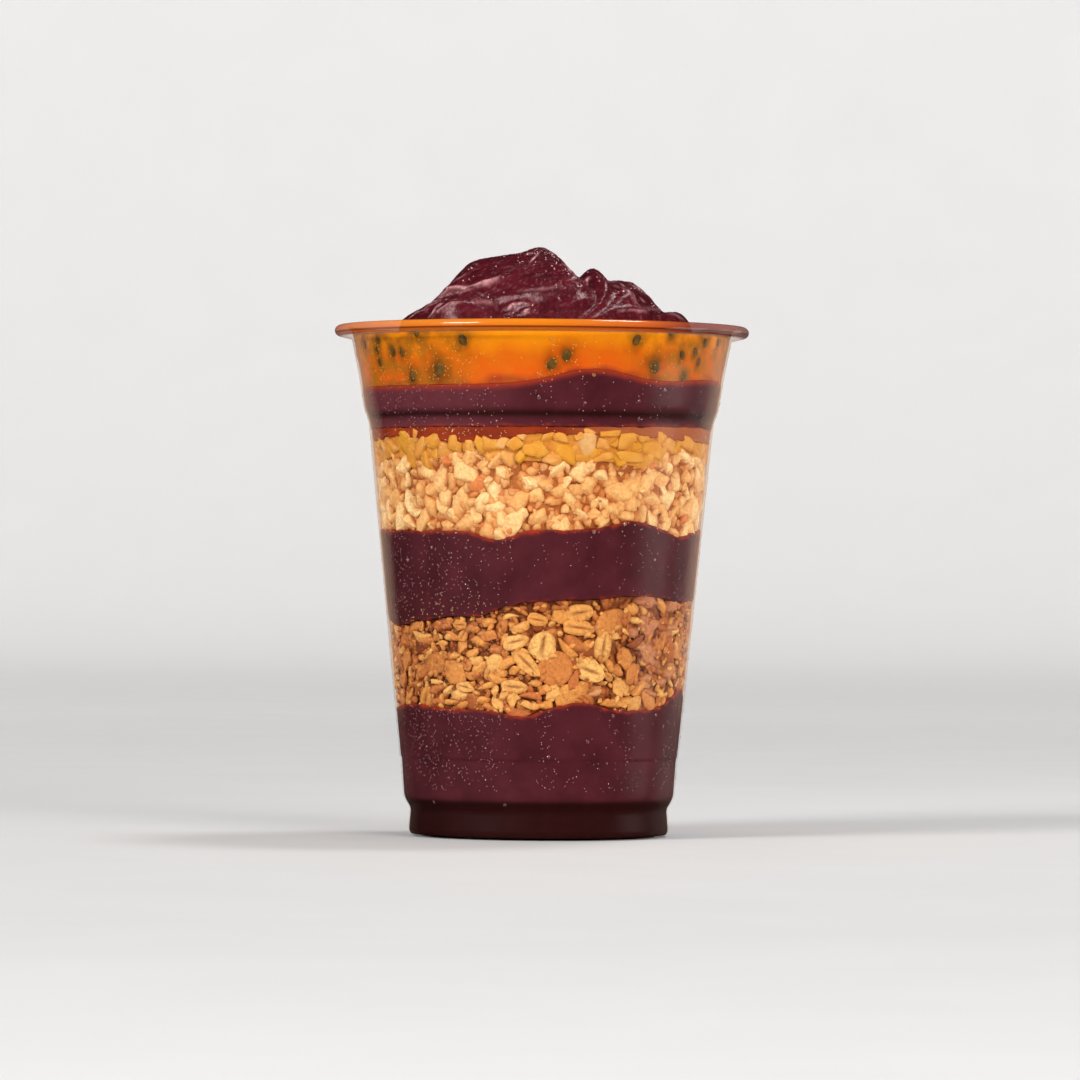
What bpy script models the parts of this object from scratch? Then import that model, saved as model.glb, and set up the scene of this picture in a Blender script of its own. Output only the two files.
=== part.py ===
"""A tall clear cup of layered acai: acai, granola, acai, chopped nuts, mango dice, orange sauce, acai
and passion fruit pulp, with a spooned mound of acai on top.

Metres, +Z up. The origin is the centre of the cup's foot, on the surface it stands on. The front of
the cup faces -Y. An azimuth is measured from the front, growing towards +X.
"""

import math
import random

import bmesh
import bpy
from mathutils import Euler, Vector

MM = 0.001

# Driving sizes of the cup, in millimetres
CUP_HEIGHT = 120.5
RIM_RADIUS = 49.0
WALL = 0.5

# Outer corners of the wall, from the foot up, as (radius, height)
FOOT_FLARE = (30.95, 1.7)
FOOT_WAIST = (30.55, 6.6)
SHOULDER_LOW = (31.6, 8.2)
SHOULDER = (32.15, 9.6)
HAIRLINE_LOW = (32.75, 18.4)
HAIRLINE_TOP = (33.0, 18.9)
LEDGE_LOW = (40.8, 97.6)
LEDGE_TOP = (41.9, 100.6)
BAND_LOW = (42.1, 101.6)
BAND_MIDDLE = (43.3, 109.0)
BAND_TOP = (44.95, 117.2)
WALL_CORNERS = [FOOT_FLARE, FOOT_WAIST, SHOULDER_LOW, SHOULDER, HAIRLINE_LOW, LEDGE_LOW, LEDGE_TOP,
                BAND_LOW, BAND_MIDDLE, BAND_TOP]

# Foot ring, raised bottom and rim bead
FOOT_RING_INNER = 26.6
FOOT_RING_OUTER = 29.4
RAISED_RADIUS = 24.6
RAISED_HEIGHT = 3.0
RIM_BEAD = 1.3
RIM_MOUTH = (45.05, 119.3)
RIM_TOP_INNER = (46.1, CUP_HEIGHT)

# Clearance between neighbouring solids
GAP = 0.3

# Turned resolution
CUP_STEPS = 36
LAYER_STEPS = 36
MOUND_STEPS = 44

# Boundaries between the layers: a level in millimetres, and soft swells on it, each as
# (azimuth in degrees, width in degrees, height in millimetres)
ACAI_BOTTOM_TOP = (30.3, [(-60, 15, 1.2), (-8, 8, -1.5), (16, 11, 1.9), (76, 15, 4.7), (140, 22, -1.2),
                          (-140, 28, 1.6), (-105, 15, -0.8)])
GRANOLA_TOP = (55.9, [(-60, 28, -8.4), (-56, 15, 2.8), (-24, 8, -1.2), (-20, 15, -1.3), (40, 15, 1.2),
                      (64, 8, -0.6), (150, 30, -2.5), (-130, 30, -3.0)])
ACAI_MIDDLE_TOP = (71.9, [(-16, 8, -2.2), (24, 8, -1.0), (32, 15, 2.8), (60, 8, -1.2), (110, 20, 1.6),
                          (165, 18, -1.5), (-120, 26, 1.2)])
NUTS_TOP = (87.9, [(-64, 11, 1.1), (-28, 11, 2.2), (36, 8, -1.6), (64, 15, 0.7), (64, 28, 2.2),
                   (140, 25, -0.8), (-130, 30, 0.8)])
MANGO_TOP = (93.4, [(-60, 12, 1.0), (-25, 14, -0.8), (-3, 9, 1.0), (24, 24, 1.4), (150, 25, 0.8),
                    (-140, 30, -0.6)])
SAUCE_TOP = (96.0, [(60, 28, 0.5)])
ACAI_UPPER_TOP = (105.5, [(16.5, 17, 3.6), (68, 28, 2.0), (-150, 30, 1.6), (150, 26, 1.8)])
PULP_TOP = (118.1, [])

# The mound: its skyline from the front as (x, height above the pulp), the tongues the spoon left on it as
# (x, y, length, width, turn in degrees, height), and its plan. The skyline's features run sideways with depth
# by a share, which grows between two distances from the middle
MOUND_CENTRE_X = 0.5
MOUND_RADIUS = 36.0
MOUND_SKYLINE = [(-36.0, 1.6), (-33.2, 4.2), (-27.7, 7.3), (-23.0, 11.8), (-18.3, 16.8), (-12.9, 18.8),
                 (-6.8, 19.8), (-1.5, 20.6), (3.2, 19.1), (6.8, 15.1), (8.2, 14.2), (12.2, 15.9),
                 (15.3, 13.3), (20.5, 13.1), (24.8, 9.8), (28.1, 6.3), (32.4, 5.8), (36.0, 1.6)]
MOUND_SHEAR = 0.6
MOUND_BEND = (12.0, 30.0)
MOUND_TONGUES = [(-13.0, -19.0, 17.0, 9.0, 18, 10.5), (10.0, -22.0, 21.0, 8.5, -10, 8.5),
                 (-18.0, 16.0, 14.0, 11.0, -24, 12.0), (12.0, 21.0, 20.0, 9.0, 14, 10.0)]
MOUND_SKIRT = 1.6
MOUND_BLEND = 7
MOUND_RINGS = 14

# Heaps: how far the bare core stays behind the pieces, and the pieces' rows and sizes
NUT_INSET = 1.8
NUT_ROWS = 3
NUT_COLUMNS = 31
NUT_SIZE = (5.0, 6.8)
GRANOLA_INSET = 1.8
GRANOLA_ROWS = 3
GRANOLA_COLUMNS = 19
FLAKE_SIZE = (9.0, 11.0)
SLIVER_SIZE = (8.0, 11.0)
MANGO_INSET = 2.2
MANGO_COLUMNS = 26
MANGO_SIZE = (4.8, 6.2)
SEED = 5


def clear_scene():
    for obj in list(bpy.data.objects):
        bpy.data.objects.remove(obj, do_unlink=True)


def plain_material(name, colour, roughness, alpha=1.0):
    made = bpy.data.materials.new(name)
    made.use_nodes = True
    shader = made.node_tree.nodes["Principled BSDF"]
    shader.inputs["Base Color"].default_value = (*colour, 1.0)
    shader.inputs["Roughness"].default_value = roughness
    shader.inputs["Metallic"].default_value = 0.0
    shader.inputs["Alpha"].default_value = alpha
    return made


def arc(centre, radius, start, end, steps):
    """Points on a circle from start to end, in degrees, both ends included."""
    turns = [math.radians(start + (end - start) * i / steps) for i in range(steps + 1)]
    return [(centre[0] + radius * math.cos(a), centre[1] + radius * math.sin(a)) for a in turns]


def turned_object(name, profile, steps, collection):
    """A profile of (radius, height) points in metres at +X, swept round Z by a Screw modifier."""
    mesh = bpy.data.meshes.new(name)
    points = [(radius, 0.0, height) for radius, height in profile]
    edges = [(i, i + 1) for i in range(len(points) - 1)]
    mesh.from_pydata(points, edges, [])
    made = bpy.data.objects.new(name, mesh)
    collection.objects.link(made)
    screw = made.modifiers.new("turn", "SCREW")
    screw.axis = "Z"
    screw.angle = math.tau
    screw.steps = steps
    screw.render_steps = steps
    screw.use_merge_vertices = True
    screw.merge_threshold = 0.00001
    return made


def evaluated_copy(source, name, collection):
    """The mesh that source's modifiers make, as an object of its own. The source is removed."""
    graph = bpy.context.evaluated_depsgraph_get()
    mesh = bpy.data.meshes.new_from_object(source.evaluated_get(graph))
    bpy.data.objects.remove(source, do_unlink=True)
    made = bpy.data.objects.new(name, mesh)
    collection.objects.link(made)
    return made


def finish_object(made, material, smooth=True):
    made.data.materials.clear()
    made.data.materials.append(material)
    if smooth:
        made.data.shade_smooth()
        made.data.set_sharp_from_angle(angle=math.radians(35))
    return made


# The cup

def outer_profile():
    """The cup's outside, from its raised bottom out, up the wall and round the rim bead."""
    bead_centre = (RIM_RADIUS - RIM_BEAD, CUP_HEIGHT - RIM_BEAD)
    foot_corner = [(FOOT_RING_OUTER, 0.0), (FOOT_FLARE[0] - 0.3, 0.55)]
    bottom = [(0.0, RAISED_HEIGHT), (RAISED_RADIUS, RAISED_HEIGHT), (FOOT_RING_INNER, 0.0)]
    bead = arc(bead_centre, RIM_BEAD, -85, 90, 5)
    wall = WALL_CORNERS[:5] + [HAIRLINE_TOP] + WALL_CORNERS[5:]
    return bottom + foot_corner + wall + bead


def inner_profile():
    """The cup's inside, from the rim's mouth down to its raised bottom."""
    wall = [(radius - WALL, height) for radius, height in reversed(WALL_CORNERS)]
    lip = [RIM_TOP_INNER, RIM_MOUTH]
    floor = [(FOOT_RING_OUTER - 0.2, WALL), (FOOT_RING_INNER + 0.3, WALL),
             (RAISED_RADIUS + 0.2, RAISED_HEIGHT + WALL), (0.0, RAISED_HEIGHT + WALL)]
    return lip + wall + floor


def make_cup(collection, material):
    outline = outer_profile() + inner_profile()
    downwards = [(radius * MM, height * MM) for radius, height in reversed(outline)]
    return finish_object(turned_object("cup", downwards, CUP_STEPS, collection), material)


def fill_radius(height):
    """The radius that the contents reach at a height, GAP clear of the cup's inside."""
    corners = [(r - WALL - GAP, h) for r, h in WALL_CORNERS]
    corners.append((RIM_MOUTH[0] - GAP, RIM_MOUTH[1]))
    if height <= corners[0][1]:
        return corners[0][0]
    for (r0, h0), (r1, h1) in zip(corners, corners[1:]):
        if height <= h1:
            return r0 + (r1 - r0) * (height - h0) / (h1 - h0)
    return corners[-1][0]


# Boundaries between layers

def azimuth_of(x, y):
    """Degrees from the front (-Y), growing towards +X."""
    return math.degrees(math.atan2(x, -y))


def boundary_height(boundary, azimuth, share):
    """A boundary's height, with its swells fading to the flat level at the middle of the cup."""
    level, swells = boundary
    total = 0.0
    for centre, width, height in swells:
        away = (azimuth - centre + 180.0) % 360.0 - 180.0
        total += height * math.exp(-((away / width) ** 2))
    return level + total * share * share


def ring_drum(name, rings, steps, collection):
    """A closed drum turned round Z. rings is a list of functions of the azimuth, from the middle of the
    top down to the middle of the bottom, each giving (radius, height) in millimetres."""
    count = len(rings)
    profile = [(0.0, count + 1.0)] + [(1.0, float(count - i)) for i in range(count)] + [(0.0, 0.0)]
    drum = evaluated_copy(turned_object(name + "_turning", profile, steps, collection), name, collection)
    for vertex in drum.data.vertices:
        x, y, tier = vertex.co
        index = count - round(tier)
        azimuth = azimuth_of(x, y)
        if index < 0 or index >= count:
            radius, height = 0.0, rings[0 if index < 0 else -1](azimuth)[1]
        else:
            radius, height = rings[index](azimuth)
        turn = math.radians(azimuth)
        vertex.co = Vector((radius * math.sin(turn), -radius * math.cos(turn), height)) * MM
    return drum


def surface_ring(boundary, share, shift, inset):
    """A ring that lies on a boundary, at a share of the way from the middle to the wall."""
    def ring(azimuth):
        wall = fill_radius(boundary_height(boundary, azimuth, share) + shift)
        height = boundary_height(boundary, azimuth, share * (wall - inset) / wall) + shift
        return share * (fill_radius(height) - inset), height
    return ring


def wall_ring(height, inset):
    def ring(_azimuth):
        return fill_radius(height) - inset, height
    return ring


def hub_ring(boundary, share, shift, inset):
    """The flat middle of a boundary."""
    def ring(_azimuth):
        height = boundary[0] + shift
        return share * (fill_radius(height) - inset), height
    return ring


def make_layer(name, low, high, collection, wall_heights=(), inset=0.0):
    """A layer that fills the cup between two boundaries, following the wall at wall_heights too."""
    rings = [hub_ring(high, 0.3, -GAP / 2, inset), surface_ring(high, 0.72, -GAP / 2, inset),
             surface_ring(high, 1.0, -GAP / 2, inset)]
    rings += [wall_ring(height, inset) for height in sorted(wall_heights, reverse=True)]
    rings += [surface_ring(low, 1.0, GAP / 2, inset), surface_ring(low, 0.72, GAP / 2, inset),
              hub_ring(low, 0.3, GAP / 2, inset)]
    return ring_drum(name, rings, LAYER_STEPS, collection)


def make_acai_bottom(collection, material):
    """The lowest acai, which fills the foot round the cup's raised bottom."""
    top = ACAI_BOTTOM_TOP
    floor = WALL + GAP
    rings = [hub_ring(top, 0.3, -GAP / 2, 0.0), surface_ring(top, 0.72, -GAP / 2, 0.0),
             surface_ring(top, 1.0, -GAP / 2, 0.0)]
    rings += [wall_ring(corner[1], 0.0) for corner in (HAIRLINE_TOP, SHOULDER, FOOT_WAIST, FOOT_FLARE)]
    rings += [lambda _a: (FOOT_RING_OUTER - 0.6, floor), lambda _a: (FOOT_RING_INNER + 0.6, floor),
              lambda _a: (RAISED_RADIUS + 0.4, RAISED_HEIGHT + floor)]
    return finish_object(ring_drum("acai_bottom", rings, LAYER_STEPS, collection), material)


# The mound

def skyline_height(x):
    """The skyline at x, as a smooth curve through its points."""
    points = MOUND_SKYLINE
    if x <= points[0][0] or x >= points[-1][0]:
        return MOUND_SKIRT
    index = max(i for i in range(len(points) - 1) if points[i][0] <= x)
    before, after = points[max(index - 1, 0)], points[min(index + 2, len(points) - 1)]
    (x0, h0), (x1, h1) = points[index], points[index + 1]
    t = (x - x0) / (x1 - x0)
    slope0 = (h1 - before[1]) / (x1 - before[0]) * (x1 - x0)
    slope1 = (after[1] - h0) / (after[0] - x0) * (x1 - x0)
    return (h0 * (1 + 2 * t) * (1 - t) ** 2 + slope0 * t * (1 - t) ** 2
            + h1 * t * t * (3 - 2 * t) + slope1 * t * t * (t - 1))


def tongue_height(tongue, x, y):
    """The height of one tongue of acai, which is zero outside it."""
    centre_x, centre_y, length, width, turn, height = tongue
    angle = math.radians(turn)
    dx, dy = x - centre_x, y - centre_y
    along = (dx * math.cos(angle) + dy * math.sin(angle)) / length
    across = (dy * math.cos(angle) - dx * math.sin(angle)) / width
    return height * max(1.0 - (along ** 2 + across ** 2) ** 1.2, 0.0)


def mound_height(x, y):
    """The top of the mound above the pulp. x and y are from the middle of the mound."""
    depth = min(abs(y) / MOUND_RADIUS, 1.0)
    chord = MOUND_RADIUS * math.sqrt(max(1.0 - depth * depth, 1e-6))
    across = max(min(x / chord, 1.0), -1.0)
    start, end = MOUND_BEND
    shear = MOUND_SHEAR * max(min((abs(y) - start) / (end - start), 1.0), 0.0)
    sheared = MOUND_RADIUS * (across + shear * y / MOUND_RADIUS * (1.0 - across * across))
    body = skyline_height(sheared) * (1.0 - depth ** 2.2) ** 0.8
    parts = [body, MOUND_SKIRT] + [tongue_height(tongue, x, y) for tongue in MOUND_TONGUES]
    return sum(part ** MOUND_BLEND for part in parts) ** (1.0 / MOUND_BLEND)


def make_mound(collection, material):
    floor = PULP_TOP[0] + GAP

    def top_ring(share):
        def ring(azimuth):
            turn = math.radians(azimuth)
            edge = MOUND_RADIUS * (1.0 + 0.02 * math.sin(3 * turn + 0.6) * math.cos(turn))
            radius = share * edge
            return radius, floor + mound_height(radius * math.sin(turn), -radius * math.cos(turn))
        return ring

    def skirt_ring(azimuth):
        return top_ring(1.0)(azimuth)[0] + 0.5, floor + 0.7

    def base_ring(share):
        return lambda azimuth: (top_ring(share)(azimuth)[0], floor)

    rings = [top_ring((i + 1) / MOUND_RINGS) for i in range(MOUND_RINGS)]
    rings += [skirt_ring, base_ring(1.0), base_ring(0.5)]
    mound = ring_drum("acai_mound", rings, MOUND_STEPS, collection)
    for vertex in mound.data.vertices:
        vertex.co.x += MOUND_CENTRE_X * MM
    return finish_object(mound, material)


# Heaps: pieces pressed against the clear wall and fused to a bare core

def jittered(mesh, draw, amount):
    for vertex in mesh.verts:
        vertex.co *= 1.0 + draw.uniform(-amount, amount)


def nut_chunk(draw, size):
    """A broken piece of peanut."""
    mesh = bmesh.new()
    bmesh.ops.create_cube(mesh, size=0.85)
    jittered(mesh, draw, 0.28)
    scale = Vector((draw.uniform(0.85, 1.2), draw.uniform(0.8, 1.0), draw.uniform(0.7, 0.95))) * size
    bmesh.ops.scale(mesh, vec=scale, verts=mesh.verts)
    return mesh


def oat_flake(draw, size):
    """A rolled oat: a thin oval disc."""
    mesh = bmesh.new()
    bmesh.ops.create_cone(mesh, cap_ends=True, segments=6, radius1=0.42, radius2=0.5, depth=0.3)
    jittered(mesh, draw, 0.08)
    scale = Vector((size, size * draw.uniform(0.62, 0.98), size * 0.75))
    bmesh.ops.scale(mesh, vec=scale, verts=mesh.verts)
    return mesh


def nut_sliver(draw, size):
    """A sliver of almond or a seed: a long thin chunk."""
    mesh = bmesh.new()
    bmesh.ops.create_cone(mesh, cap_ends=True, segments=5, radius1=0.3, radius2=0.45, depth=1.0)
    bmesh.ops.rotate(mesh, matrix=Euler((0, math.radians(90), 0)).to_matrix(), verts=mesh.verts)
    jittered(mesh, draw, 0.12)
    scale = Vector((size, size * draw.uniform(0.4, 0.55), size * 0.36))
    bmesh.ops.scale(mesh, vec=scale, verts=mesh.verts)
    return mesh


def mango_die(draw, size):
    """A small cut cube of mango."""
    mesh = bmesh.new()
    bmesh.ops.create_cube(mesh, size=1.0)
    jittered(mesh, draw, 0.1)
    scale = Vector((size * draw.uniform(0.85, 1.15), size * draw.uniform(0.8, 1.0), size * 0.9))
    bmesh.ops.scale(mesh, vec=scale, verts=mesh.verts)
    return mesh


def press_to_wall(mesh, low, high, back):
    """Keeps a piece inside the wall and between its layer's boundaries, as if pressed flat there."""
    clear = 0.35 + back
    for vertex in mesh.verts:
        x, y, z = vertex.co
        azimuth = azimuth_of(x, y)
        share = min(math.hypot(x, y) / fill_radius(z), 1.0)
        z = min(max(z, boundary_height(low, azimuth, share) + clear),
                boundary_height(high, azimuth, share) - clear)
        limit = (fill_radius(z) - back) / max(math.hypot(x, y), 1e-6)
        if limit < 1.0:
            x, y = x * limit, y * limit
        vertex.co = (x, y, z)


def place_piece(mesh, azimuth, height, depth, tilt):
    """Turns a piece made flat in XY so that its flat side faces the wall, and moves it there."""
    turn = math.radians(azimuth)
    facing = Euler((math.radians(90), 0, turn)).to_matrix().to_4x4()
    own = Euler(tilt).to_matrix().to_4x4()
    bmesh.ops.transform(mesh, matrix=facing @ own, verts=mesh.verts)
    radius = fill_radius(height) - depth
    bmesh.ops.translate(mesh, vec=(radius * math.sin(turn), -radius * math.cos(turn), height),
                        verts=mesh.verts)


def add_piece(mesh, name, pieces):
    """Stores a placed piece, in metres, in the collection of pieces to be fused."""
    bmesh.ops.scale(mesh, vec=(MM, MM, MM), verts=mesh.verts)
    bmesh.ops.recalc_face_normals(mesh, faces=mesh.faces)
    bmesh.ops.triangulate(mesh, faces=mesh.faces)
    data = bpy.data.meshes.new(name)
    mesh.to_mesh(data)
    mesh.free()
    pieces.objects.link(bpy.data.objects.new(name, data))


def keep_largest_shell(obj):
    """Drops loose scraps and sealed hollows that fusing leaves."""
    mesh = bmesh.new()
    mesh.from_mesh(obj.data)
    unseen = set(mesh.verts)
    shells = []
    while unseen:
        shell, edge = set(), [unseen.pop()]
        while edge:
            vertex = edge.pop()
            shell.add(vertex)
            for other in (link.other_vert(vertex) for link in vertex.link_edges):
                if other in unseen:
                    unseen.discard(other)
                    edge.append(other)
        shells.append(shell)
    shells.sort(key=len, reverse=True)
    loose = [vertex for shell in shells[1:] for vertex in shell]
    bmesh.ops.delete(mesh, geom=loose, context="VERTS")
    mesh.to_mesh(obj.data)
    mesh.free()


def fuse(core, pieces, material):
    """Joins a collection of pieces to their core in one Boolean union, then removes the pieces."""
    union = core.modifiers.new("fuse", "BOOLEAN")
    union.operation = "UNION"
    union.operand_type = "COLLECTION"
    union.collection = pieces
    union.solver = "MANIFOLD"
    name, home = core.name, core.users_collection[0]
    core.name = name + "_core"
    fused = evaluated_copy(core, name, home)
    for obj in list(pieces.objects):
        bpy.data.objects.remove(obj, do_unlink=True)
    keep_largest_shell(fused)
    return finish_object(fused, material, smooth=False)


def fill_heap(name, low, high, rows, columns, make_piece, pieces, draw):
    """Spreads pieces evenly round the wall in rows and columns, with a little scatter."""
    for row in range(rows):
        for column in range(columns):
            mesh, depth, tilt = make_piece(draw)
            azimuth = (column + 0.5 * (row % 2) + draw.uniform(-0.24, 0.24)) * 360.0 / columns
            share = (row + 0.5 + draw.uniform(-0.16, 0.16)) / rows
            bottom = boundary_height(low, azimuth, 1.0)
            top = boundary_height(high, azimuth, 1.0)
            place_piece(mesh, azimuth, bottom + (top - bottom) * share, depth, tilt)
            press_to_wall(mesh, low, high, draw.uniform(0.0, 0.45))
            add_piece(mesh, f"{name}_piece_{row}_{column}", pieces)


def make_nuts(collection, pieces, material):
    draw = random.Random(SEED)

    def one(draw):
        size = draw.uniform(*NUT_SIZE)
        tilt = [draw.uniform(0, math.tau) for _ in range(3)]
        return nut_chunk(draw, size), size * 0.42, tilt

    core = make_layer("chopped_nuts", ACAI_MIDDLE_TOP, NUTS_TOP, collection, inset=NUT_INSET)
    fill_heap("nut", ACAI_MIDDLE_TOP, NUTS_TOP, NUT_ROWS, NUT_COLUMNS, one, pieces, draw)
    return fuse(core, pieces, material)


def make_granola(collection, pieces, material):
    draw = random.Random(SEED + 1)

    def one(draw):
        spin = draw.uniform(0, math.tau)
        lean = [draw.uniform(-0.45, 0.45), draw.uniform(-0.45, 0.45), spin]
        if draw.random() < 0.6:
            size = draw.uniform(*FLAKE_SIZE)
            return oat_flake(draw, size), 1.0, lean
        size = draw.uniform(*SLIVER_SIZE)
        return nut_sliver(draw, size), 1.2, lean

    core = make_layer("granola", ACAI_BOTTOM_TOP, GRANOLA_TOP, collection, inset=GRANOLA_INSET)
    fill_heap("flake", ACAI_BOTTOM_TOP, GRANOLA_TOP, GRANOLA_ROWS, GRANOLA_COLUMNS, one, pieces, draw)
    return fuse(core, pieces, material)


def make_mango(collection, pieces, material):
    draw = random.Random(SEED + 2)

    def one(draw):
        size = draw.uniform(*MANGO_SIZE)
        tilt = [draw.uniform(-0.5, 0.5), draw.uniform(-0.5, 0.5), draw.uniform(0, math.tau)]
        return mango_die(draw, size), size * 0.4, tilt

    core = make_layer("mango_dice", NUTS_TOP, MANGO_TOP, collection, inset=MANGO_INSET)
    fill_heap("die", NUTS_TOP, MANGO_TOP, 1, MANGO_COLUMNS, one, pieces, draw)
    return fuse(core, pieces, material)


def main():
    clear_scene()
    home = bpy.data.collections.new("acai_cup")
    pieces = bpy.data.collections.new("loose_pieces")
    bpy.context.scene.collection.children.link(home)
    bpy.context.scene.collection.children.link(pieces)

    clear_plastic = plain_material("clear_plastic", (0.93, 0.95, 0.96), 0.08, alpha=0.3)
    acai = plain_material("acai", (0.085, 0.018, 0.026), 0.4)
    oats = plain_material("granola", (0.5, 0.22, 0.07), 0.6)
    peanut = plain_material("nuts", (0.78, 0.46, 0.17), 0.6)
    mango = plain_material("mango", (0.82, 0.42, 0.05), 0.35)
    sauce = plain_material("sauce", (0.42, 0.085, 0.02), 0.3)
    pulp = plain_material("passion_fruit_pulp", (0.82, 0.26, 0.01), 0.3)

    make_cup(home, clear_plastic)
    make_acai_bottom(home, acai)
    make_granola(home, pieces, oats)
    finish_object(make_layer("acai_middle", GRANOLA_TOP, ACAI_MIDDLE_TOP, home), acai)
    make_nuts(home, pieces, peanut)
    make_mango(home, pieces, mango)
    finish_object(make_layer("fruit_sauce", MANGO_TOP, SAUCE_TOP, home), sauce)
    finish_object(make_layer("acai_upper", SAUCE_TOP, ACAI_UPPER_TOP, home,
                             wall_heights=(LEDGE_LOW[1], LEDGE_TOP[1])), acai)
    finish_object(make_layer("passion_fruit_pulp", ACAI_UPPER_TOP, PULP_TOP, home), pulp)
    make_mound(home, acai)
    bpy.data.collections.remove(pieces)


main()
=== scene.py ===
"""Looks of the layered acai cup: clear cup with condensation, pressed layers, loose pieces and the mound."""
import math
import random

import bmesh
import bpy
import numpy as np
from mathutils import Matrix, Vector, noise


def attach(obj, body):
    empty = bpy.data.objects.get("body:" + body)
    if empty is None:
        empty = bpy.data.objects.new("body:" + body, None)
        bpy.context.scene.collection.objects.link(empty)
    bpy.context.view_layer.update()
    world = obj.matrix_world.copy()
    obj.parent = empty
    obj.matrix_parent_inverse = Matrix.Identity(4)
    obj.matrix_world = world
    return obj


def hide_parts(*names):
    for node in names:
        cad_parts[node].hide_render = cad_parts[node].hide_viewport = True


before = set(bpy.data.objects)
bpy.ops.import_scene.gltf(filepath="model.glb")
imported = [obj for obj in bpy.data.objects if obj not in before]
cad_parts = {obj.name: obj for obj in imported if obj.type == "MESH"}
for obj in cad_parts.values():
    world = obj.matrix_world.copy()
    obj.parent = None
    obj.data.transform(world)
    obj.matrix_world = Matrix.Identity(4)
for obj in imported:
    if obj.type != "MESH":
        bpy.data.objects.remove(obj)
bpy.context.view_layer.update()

MM = 0.001

OAT, SLIVER, FLAKE, CLUSTER, CHIP, PUCK, ALMOND = range(7)

# The cup's outer corners as (radius, height) in millimetres, as in the solids
CUP_HEIGHT = 120.5
RIM_RADIUS = 49.0
WALL = 0.5
WALL_CORNERS = [(30.95, 1.7), (30.55, 6.6), (31.6, 8.2), (32.15, 9.6), (32.75, 18.4), (33.0, 18.9),
                (40.8, 97.6), (41.9, 100.6), (42.1, 101.6), (43.3, 109.0), (44.95, 117.2)]
FOOT_RING_INNER = 26.6
FOOT_RING_OUTER = 29.4
RAISED_RADIUS = 24.6
RAISED_HEIGHT = 3.0
RIM_BEAD = 1.3
RIM_MOUTH = (45.05, 119.3)
RIM_TOP_INNER = (46.1, CUP_HEIGHT)
CUP_STEPS = 160

# Dark bands: the ledge's painted shade as height and width, where the foot darkens, and the line above the
# foot
LEDGE_SHADE = (99.0, 0.95)
FOOT_DARKENS = (8.3, 9.6)
FOOT_LINE = (8.9, 0.5)

# Azimuths between which the left of the upper acai is paled as painted reflection and the right of the sauce
# is pale
PAINTED_HAZE_LEFT = (5.0, -40.0)
PALE_RIGHT = (2.0, 26.0)
BACK_FADE = (176.0, 125.0)

# Heights between which the plastic's looks change, and how solid the rim looks
HAZE_GROWS = (26.0, 44.0)
SHINE_GROWS = (6.0, 12.0)
RIM_STARTS = (117.7, 118.0)
RIM_BODY = 0.92

# The contents reach this far inside the outside of the wall, so that no air gap shows
PRESSED = 0.34
EASED_EDGE = 0.05
INNER_SHARES = (0.25, 0.5, 0.7, 0.85, 0.95)

# The lowest acai's side ends at this height, and it lies this far above the table and the raised bottom
FOOT_FILL_LOWEST = 0.55
FOOT_FILL_FLOOR = 0.42

# Boundaries between layers: a level, and soft swells as (azimuth, width, height)
ACAI_BOTTOM_TOP = (30.3, [(-60, 15, 1.2), (-8, 8, -1.5), (16, 11, 1.9), (76, 15, 4.7), (140, 22, -1.2),
                          (-140, 28, 1.6), (-105, 15, -0.8)])
GRANOLA_TOP = (55.9, [(-60, 28, -8.4), (-56, 15, 2.8), (-24, 8, -1.2), (-20, 15, -1.3), (40, 15, 1.2),
                      (64, 8, -0.6), (150, 30, -2.5), (-130, 30, -3.0)])
ACAI_MIDDLE_TOP = (71.9, [(-16, 8, -2.2), (24, 8, -1.0), (32, 15, 2.8), (60, 8, -1.2), (110, 20, 1.6),
                          (165, 18, -1.5), (-120, 26, 1.2)])
NUTS_TOP = (87.9, [(-64, 11, 1.1), (-28, 11, 2.2), (36, 8, -1.6), (64, 15, 0.7), (64, 28, 2.2),
                   (140, 25, -0.8), (-130, 30, 0.8)])
MANGO_TOP = (93.4, [(-60, 12, 1.0), (-25, 14, -0.8), (-3, 9, 1.0), (24, 24, 1.4), (150, 25, 0.8),
                    (-140, 30, -0.6)])
SAUCE_TOP = (96.0, [(60, 28, 0.5)])
ACAI_UPPER_TOP = (105.5, [(16.5, 17, 3.6), (68, 28, 2.0), (-150, 30, 1.6), (150, 26, 1.8)])
PULP_TOP = (118.1, [])

# The mound's skyline and plan, as in the solids
MOUND_CENTRE_X = 0.5
MOUND_RADIUS = 36.0
MOUND_SKYLINE = [(-36.0, 1.6), (-33.2, 4.2), (-27.7, 7.3), (-23.0, 11.8), (-18.3, 16.8), (-12.9, 18.8),
                 (-6.8, 19.8), (-1.5, 20.5), (3.2, 18.4), (6.8, 14.9), (8.2, 14.2), (12.2, 15.9),
                 (15.3, 13.3), (20.5, 13.1), (24.8, 9.8), (28.1, 6.3), (32.4, 5.8), (36.0, 1.6)]
MOUND_SHEAR = 0.6
MOUND_BEND = (12.0, 30.0)
MOUND_TONGUES = [(-13.0, -19.0, 17.0, 9.0, 18, 10.5), (10.0, -22.0, 21.0, 8.5, -10, 8.5),
                 (-18.0, 16.0, 14.0, 11.0, -24, 12.0), (12.0, 21.0, 20.0, 9.0, 14, 10.0)]
MOUND_SKIRT = 1.6
MOUND_BLEND = 7

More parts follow.
